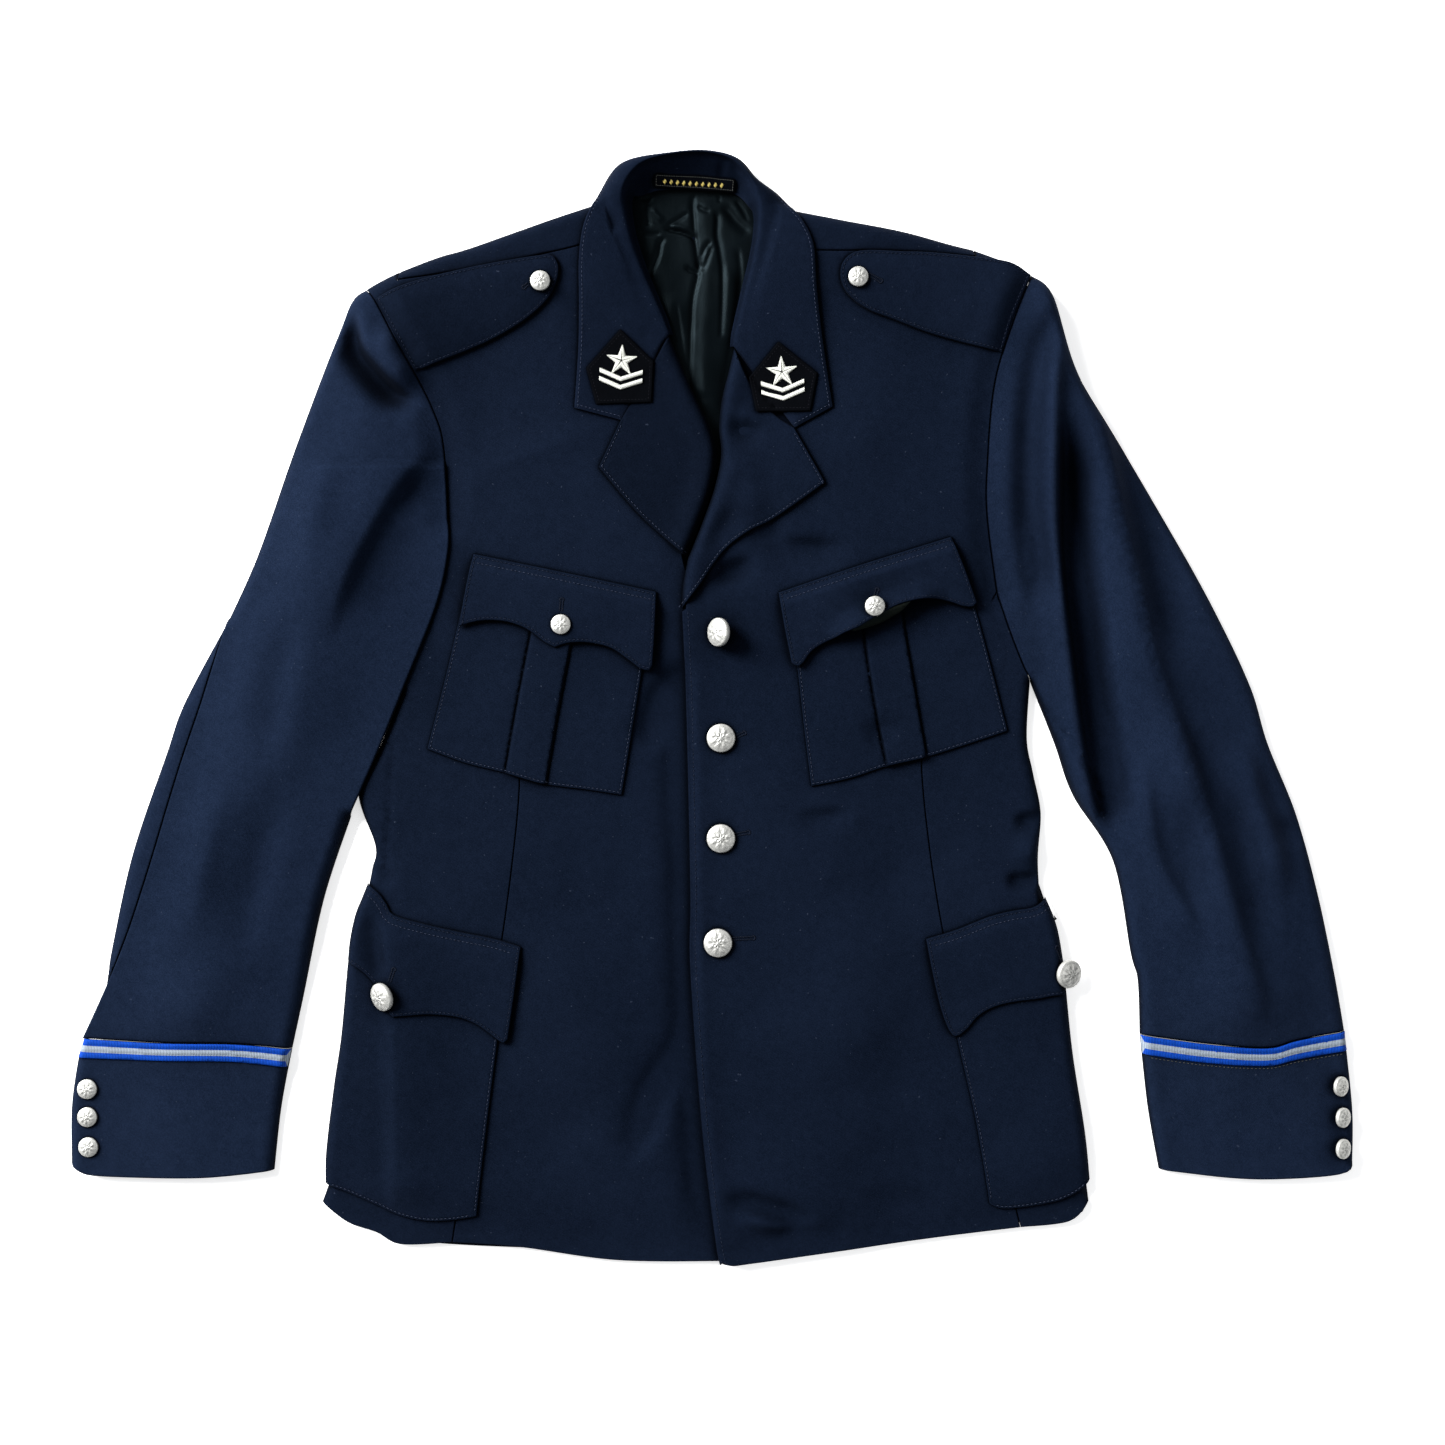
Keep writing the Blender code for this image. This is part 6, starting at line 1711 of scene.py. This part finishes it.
def make_button(name, x, y, size, lean, direction):
    """A domed shank button with a worn rosette in relief, tilted as it lies."""
    across, tall = size
    radius = across * BUTTON_SHARE
    sides, rings = BUTTON_SIDES, BUTTON_RINGS
    angle = 2 * math.pi * np.arange(sides) / sides
    r, a = np.meshgrid(np.linspace(0.0, 1.0, rings), angle, indexing="ij")
    dome = tall * (0.36 + 0.64 * np.sqrt(np.maximum(0.0, 1.0 - (r * 0.96) ** 2.2)))
    relief = sum(high * np.cos(a * count + turned + twist * r) * hill(r - middle, width)
                 for high, count, turned, twist, middle, width in BUTTON_RELIEF)
    seed = sum(ord(letter) for letter in name)
    u, v = r * radius * np.cos(a), r * radius * np.sin(a)
    worn = waves(u.ravel(), v.ravel(), 3.0 / 1.7, seed).reshape(r.shape)
    relief = relief * (0.75 + 0.5 * worn) + 0.16 * worn
    z = dome + relief * across / BIG_BUTTON[0]
    points = [np.column_stack((u.ravel(), v.ravel(), z.ravel()))]
    for scale, height in BUTTON_UNDER:
        points.append(np.column_stack((radius * scale * np.cos(angle), radius * scale * np.sin(angle),
                                       np.full(sides, tall * height))))
    points = np.vstack(points)
    faces = []
    total = rings + len(BUTTON_UNDER)
    around = np.arange(sides)
    ahead = (around + 1) % sides
    for k in range(total - 1):
        low, high = k * sides + around, (k + 1) * sides + around
        ahead_low, ahead_high = k * sides + ahead, (k + 1) * sides + ahead
        if k == 0:
            faces.append(np.column_stack((low[:1].repeat(sides), high, ahead_high)))
        elif k == total - 2:
            faces.append(np.column_stack((low, np.full(sides, high[0]), ahead_low)))
        else:
            faces.append(np.column_stack((low, high, ahead_high)))
            faces.append(np.column_stack((low, ahead_high, ahead_low)))
    faces = np.vstack(faces)
    aim = math.radians(direction)
    turn = Matrix.Rotation(math.radians(lean), 3, Vector((-math.sin(aim), math.cos(aim), 0.0)))
    spin = Matrix.Rotation(math.radians(seed % 45), 3, "Z")
    points = points @ np.array(turn @ spin).T
    centre = place((x, y))[0]
    points[:, 0] += centre[0]
    points[:, 1] += centre[1]
    low = points[rings * sides:rings * sides + sides]
    lift = max(surface(p[0], p[1]) - p[2] for p in low[::6])
    points[:, 2] += lift - BUTTON_SINK
    used, compact = np.unique(faces, return_inverse=True)
    make_piece("metal_" + name, [(points[used], [compact.reshape(-1, 3)], np.empty((0, 2), int))],
               SILVER_METAL, [name],
               sharp=False)


def hole_stitch(p, q):
    ends = [(spot[0], spot[1], surface(*spot) + 0.02) for spot in (p, q)]
    HOLES.append([thread(ends[0], ends[1], 0.27, 0.22, 4, 2)])


def make_buttonhole(x0, y0, x1, y1):
    """A worked buttonhole: a slit between two rows of close stitches, with an eyelet end."""
    a, b = place([(x0, y0), (x1, y1)])
    run = (b - a) / np.linalg.norm(b - a)
    across = np.array((-run[1], run[0]))
    length = np.linalg.norm(b - a)
    count = int(length / 0.5)
    for k in range(count):
        spot = a + run * (k + 0.5) * 0.5
        for side in (-1, 1):
            hole_stitch(spot + across * side * 0.35, spot + across * side * 1.55)
    for k in range(14):
        angle = math.pi * (k / 13.0 - 0.5)
        way = run * math.cos(angle) + across * math.sin(angle)
        hole_stitch(b + way * 0.8, b + way * 2.1)


# Everything is made from the lowest cloth up

GROUND, STITCHES, FAINT, GOLD, GREY, HOLES, BLACK_THREADS = [], [], [], [], [], [], []
CURL_LINE = curve(CURL_LINE_POINTS)
LINING_RING = outline(LINING_EDGE)
TWILL = {key: twill(*row) for key, row in CUTS.items()}
SATIN = satin_black("black satin lining")
FACING = satin_black("dark facing", FACING_DARK, FACING_LIGHT)
FELT = felt_black("black felt")
SILVER_METAL = worn_silver("worn silver")
CORDS = {name: corded(name, *row) for name, row in THREADS.items()}

make_back()
make_body()
make_neck()
make_sleeves()
make_cuff("right", CUFF_LINE_RIGHT[::-1], CUFF_OUTER_RIGHT, CUFF_END_RIGHT, CUFF_INNER_RIGHT,
          BRAID_RIGHT_LOWER,
          ("cuff_right", "braid_right"))
make_cuff("left", CUFF_LINE_LEFT, CUFF_OUTER_LEFT, CUFF_END_LEFT, CUFF_INNER_LEFT, BRAID_LEFT_LOWER,
          ("cuff_left", "braid_left"))
make_pockets()
make_hip_pockets()
make_collar()
make_label()
make_patch("right", PATCH_RIGHT, (622, 370), -3.0)
make_patch("left", PATCH_LEFT, (782, 381), 3.0)
for row in BUTTONHOLES:
    make_buttonhole(*row)
for row in BUTTONS:
    make_button(*row)
for name, groups, look in (("topstitching", STITCHES, "navy thread"),
                           ("fine_stitching", FAINT, "dark thread"),
                           ("label_threads", GOLD, "gold thread"),
                           ("grey_stitching", GREY, "grey thread"),
                           ("buttonhole_threads", HOLES, "buttonhole thread"),
                           ("patch_threads", BLACK_THREADS, "black thread")):
    make_piece(name, [gather([part for group in groups for part in group])], CORDS[look], sharp=False)


# Floor, light and camera

def make_stage():
    mesh = bpy.data.meshes.new("floor")
    corners = ((-1, -1), (1, -1), (1, 1), (-1, 1))
    mesh.from_pydata([(x * FLOOR_HALF, y * FLOOR_HALF, FLOOR_LEVEL) for x, y in corners], [], [(0, 1, 2, 3)])
    floor = bpy.data.objects.new("floor", mesh)
    bpy.context.scene.collection.objects.link(floor)
    mesh.materials.append(paper_white("pale floor"))
    world = bpy.data.worlds.new("studio")
    bpy.context.scene.world = world
    bpy.context.scene.view_settings.view_transform = "Standard"
    world.use_nodes = True
    put(world.node_tree.nodes["Background"], {"Color": SKY, "Strength": WORLD_STRENGTH})
    for name, spot, aim, size, power in LIGHTS:
        light = bpy.data.lights.new(name, "AREA")
        light.energy = power
        light.size = size
        made = bpy.data.objects.new(name, light)
        made.location = spot
        made.rotation_euler = (Vector(aim) - Vector(spot)).to_track_quat("-Z", "Y").to_euler()
        bpy.context.scene.collection.objects.link(made)


def make_camera():
    """Straight above the middle of the photographed frame."""
    lens = bpy.data.cameras.new("camera")
    lens.lens = CAMERA_LENS
    lens.sensor_width = CAMERA_SENSOR
    camera = bpy.data.objects.new("camera", lens)
    centre = place((FRAME_MIDDLE, FRAME_MIDDLE))[0] * 0.001
    width = FRAME_MIDDLE * 2 * PLAN_UNIT * 0.001
    camera.location = (centre[0], centre[1], width * CAMERA_LENS / CAMERA_SENSOR + CLOTH_LEVEL)
    bpy.context.scene.collection.objects.link(camera)
    bpy.context.scene.camera = camera


make_stage()
make_camera()
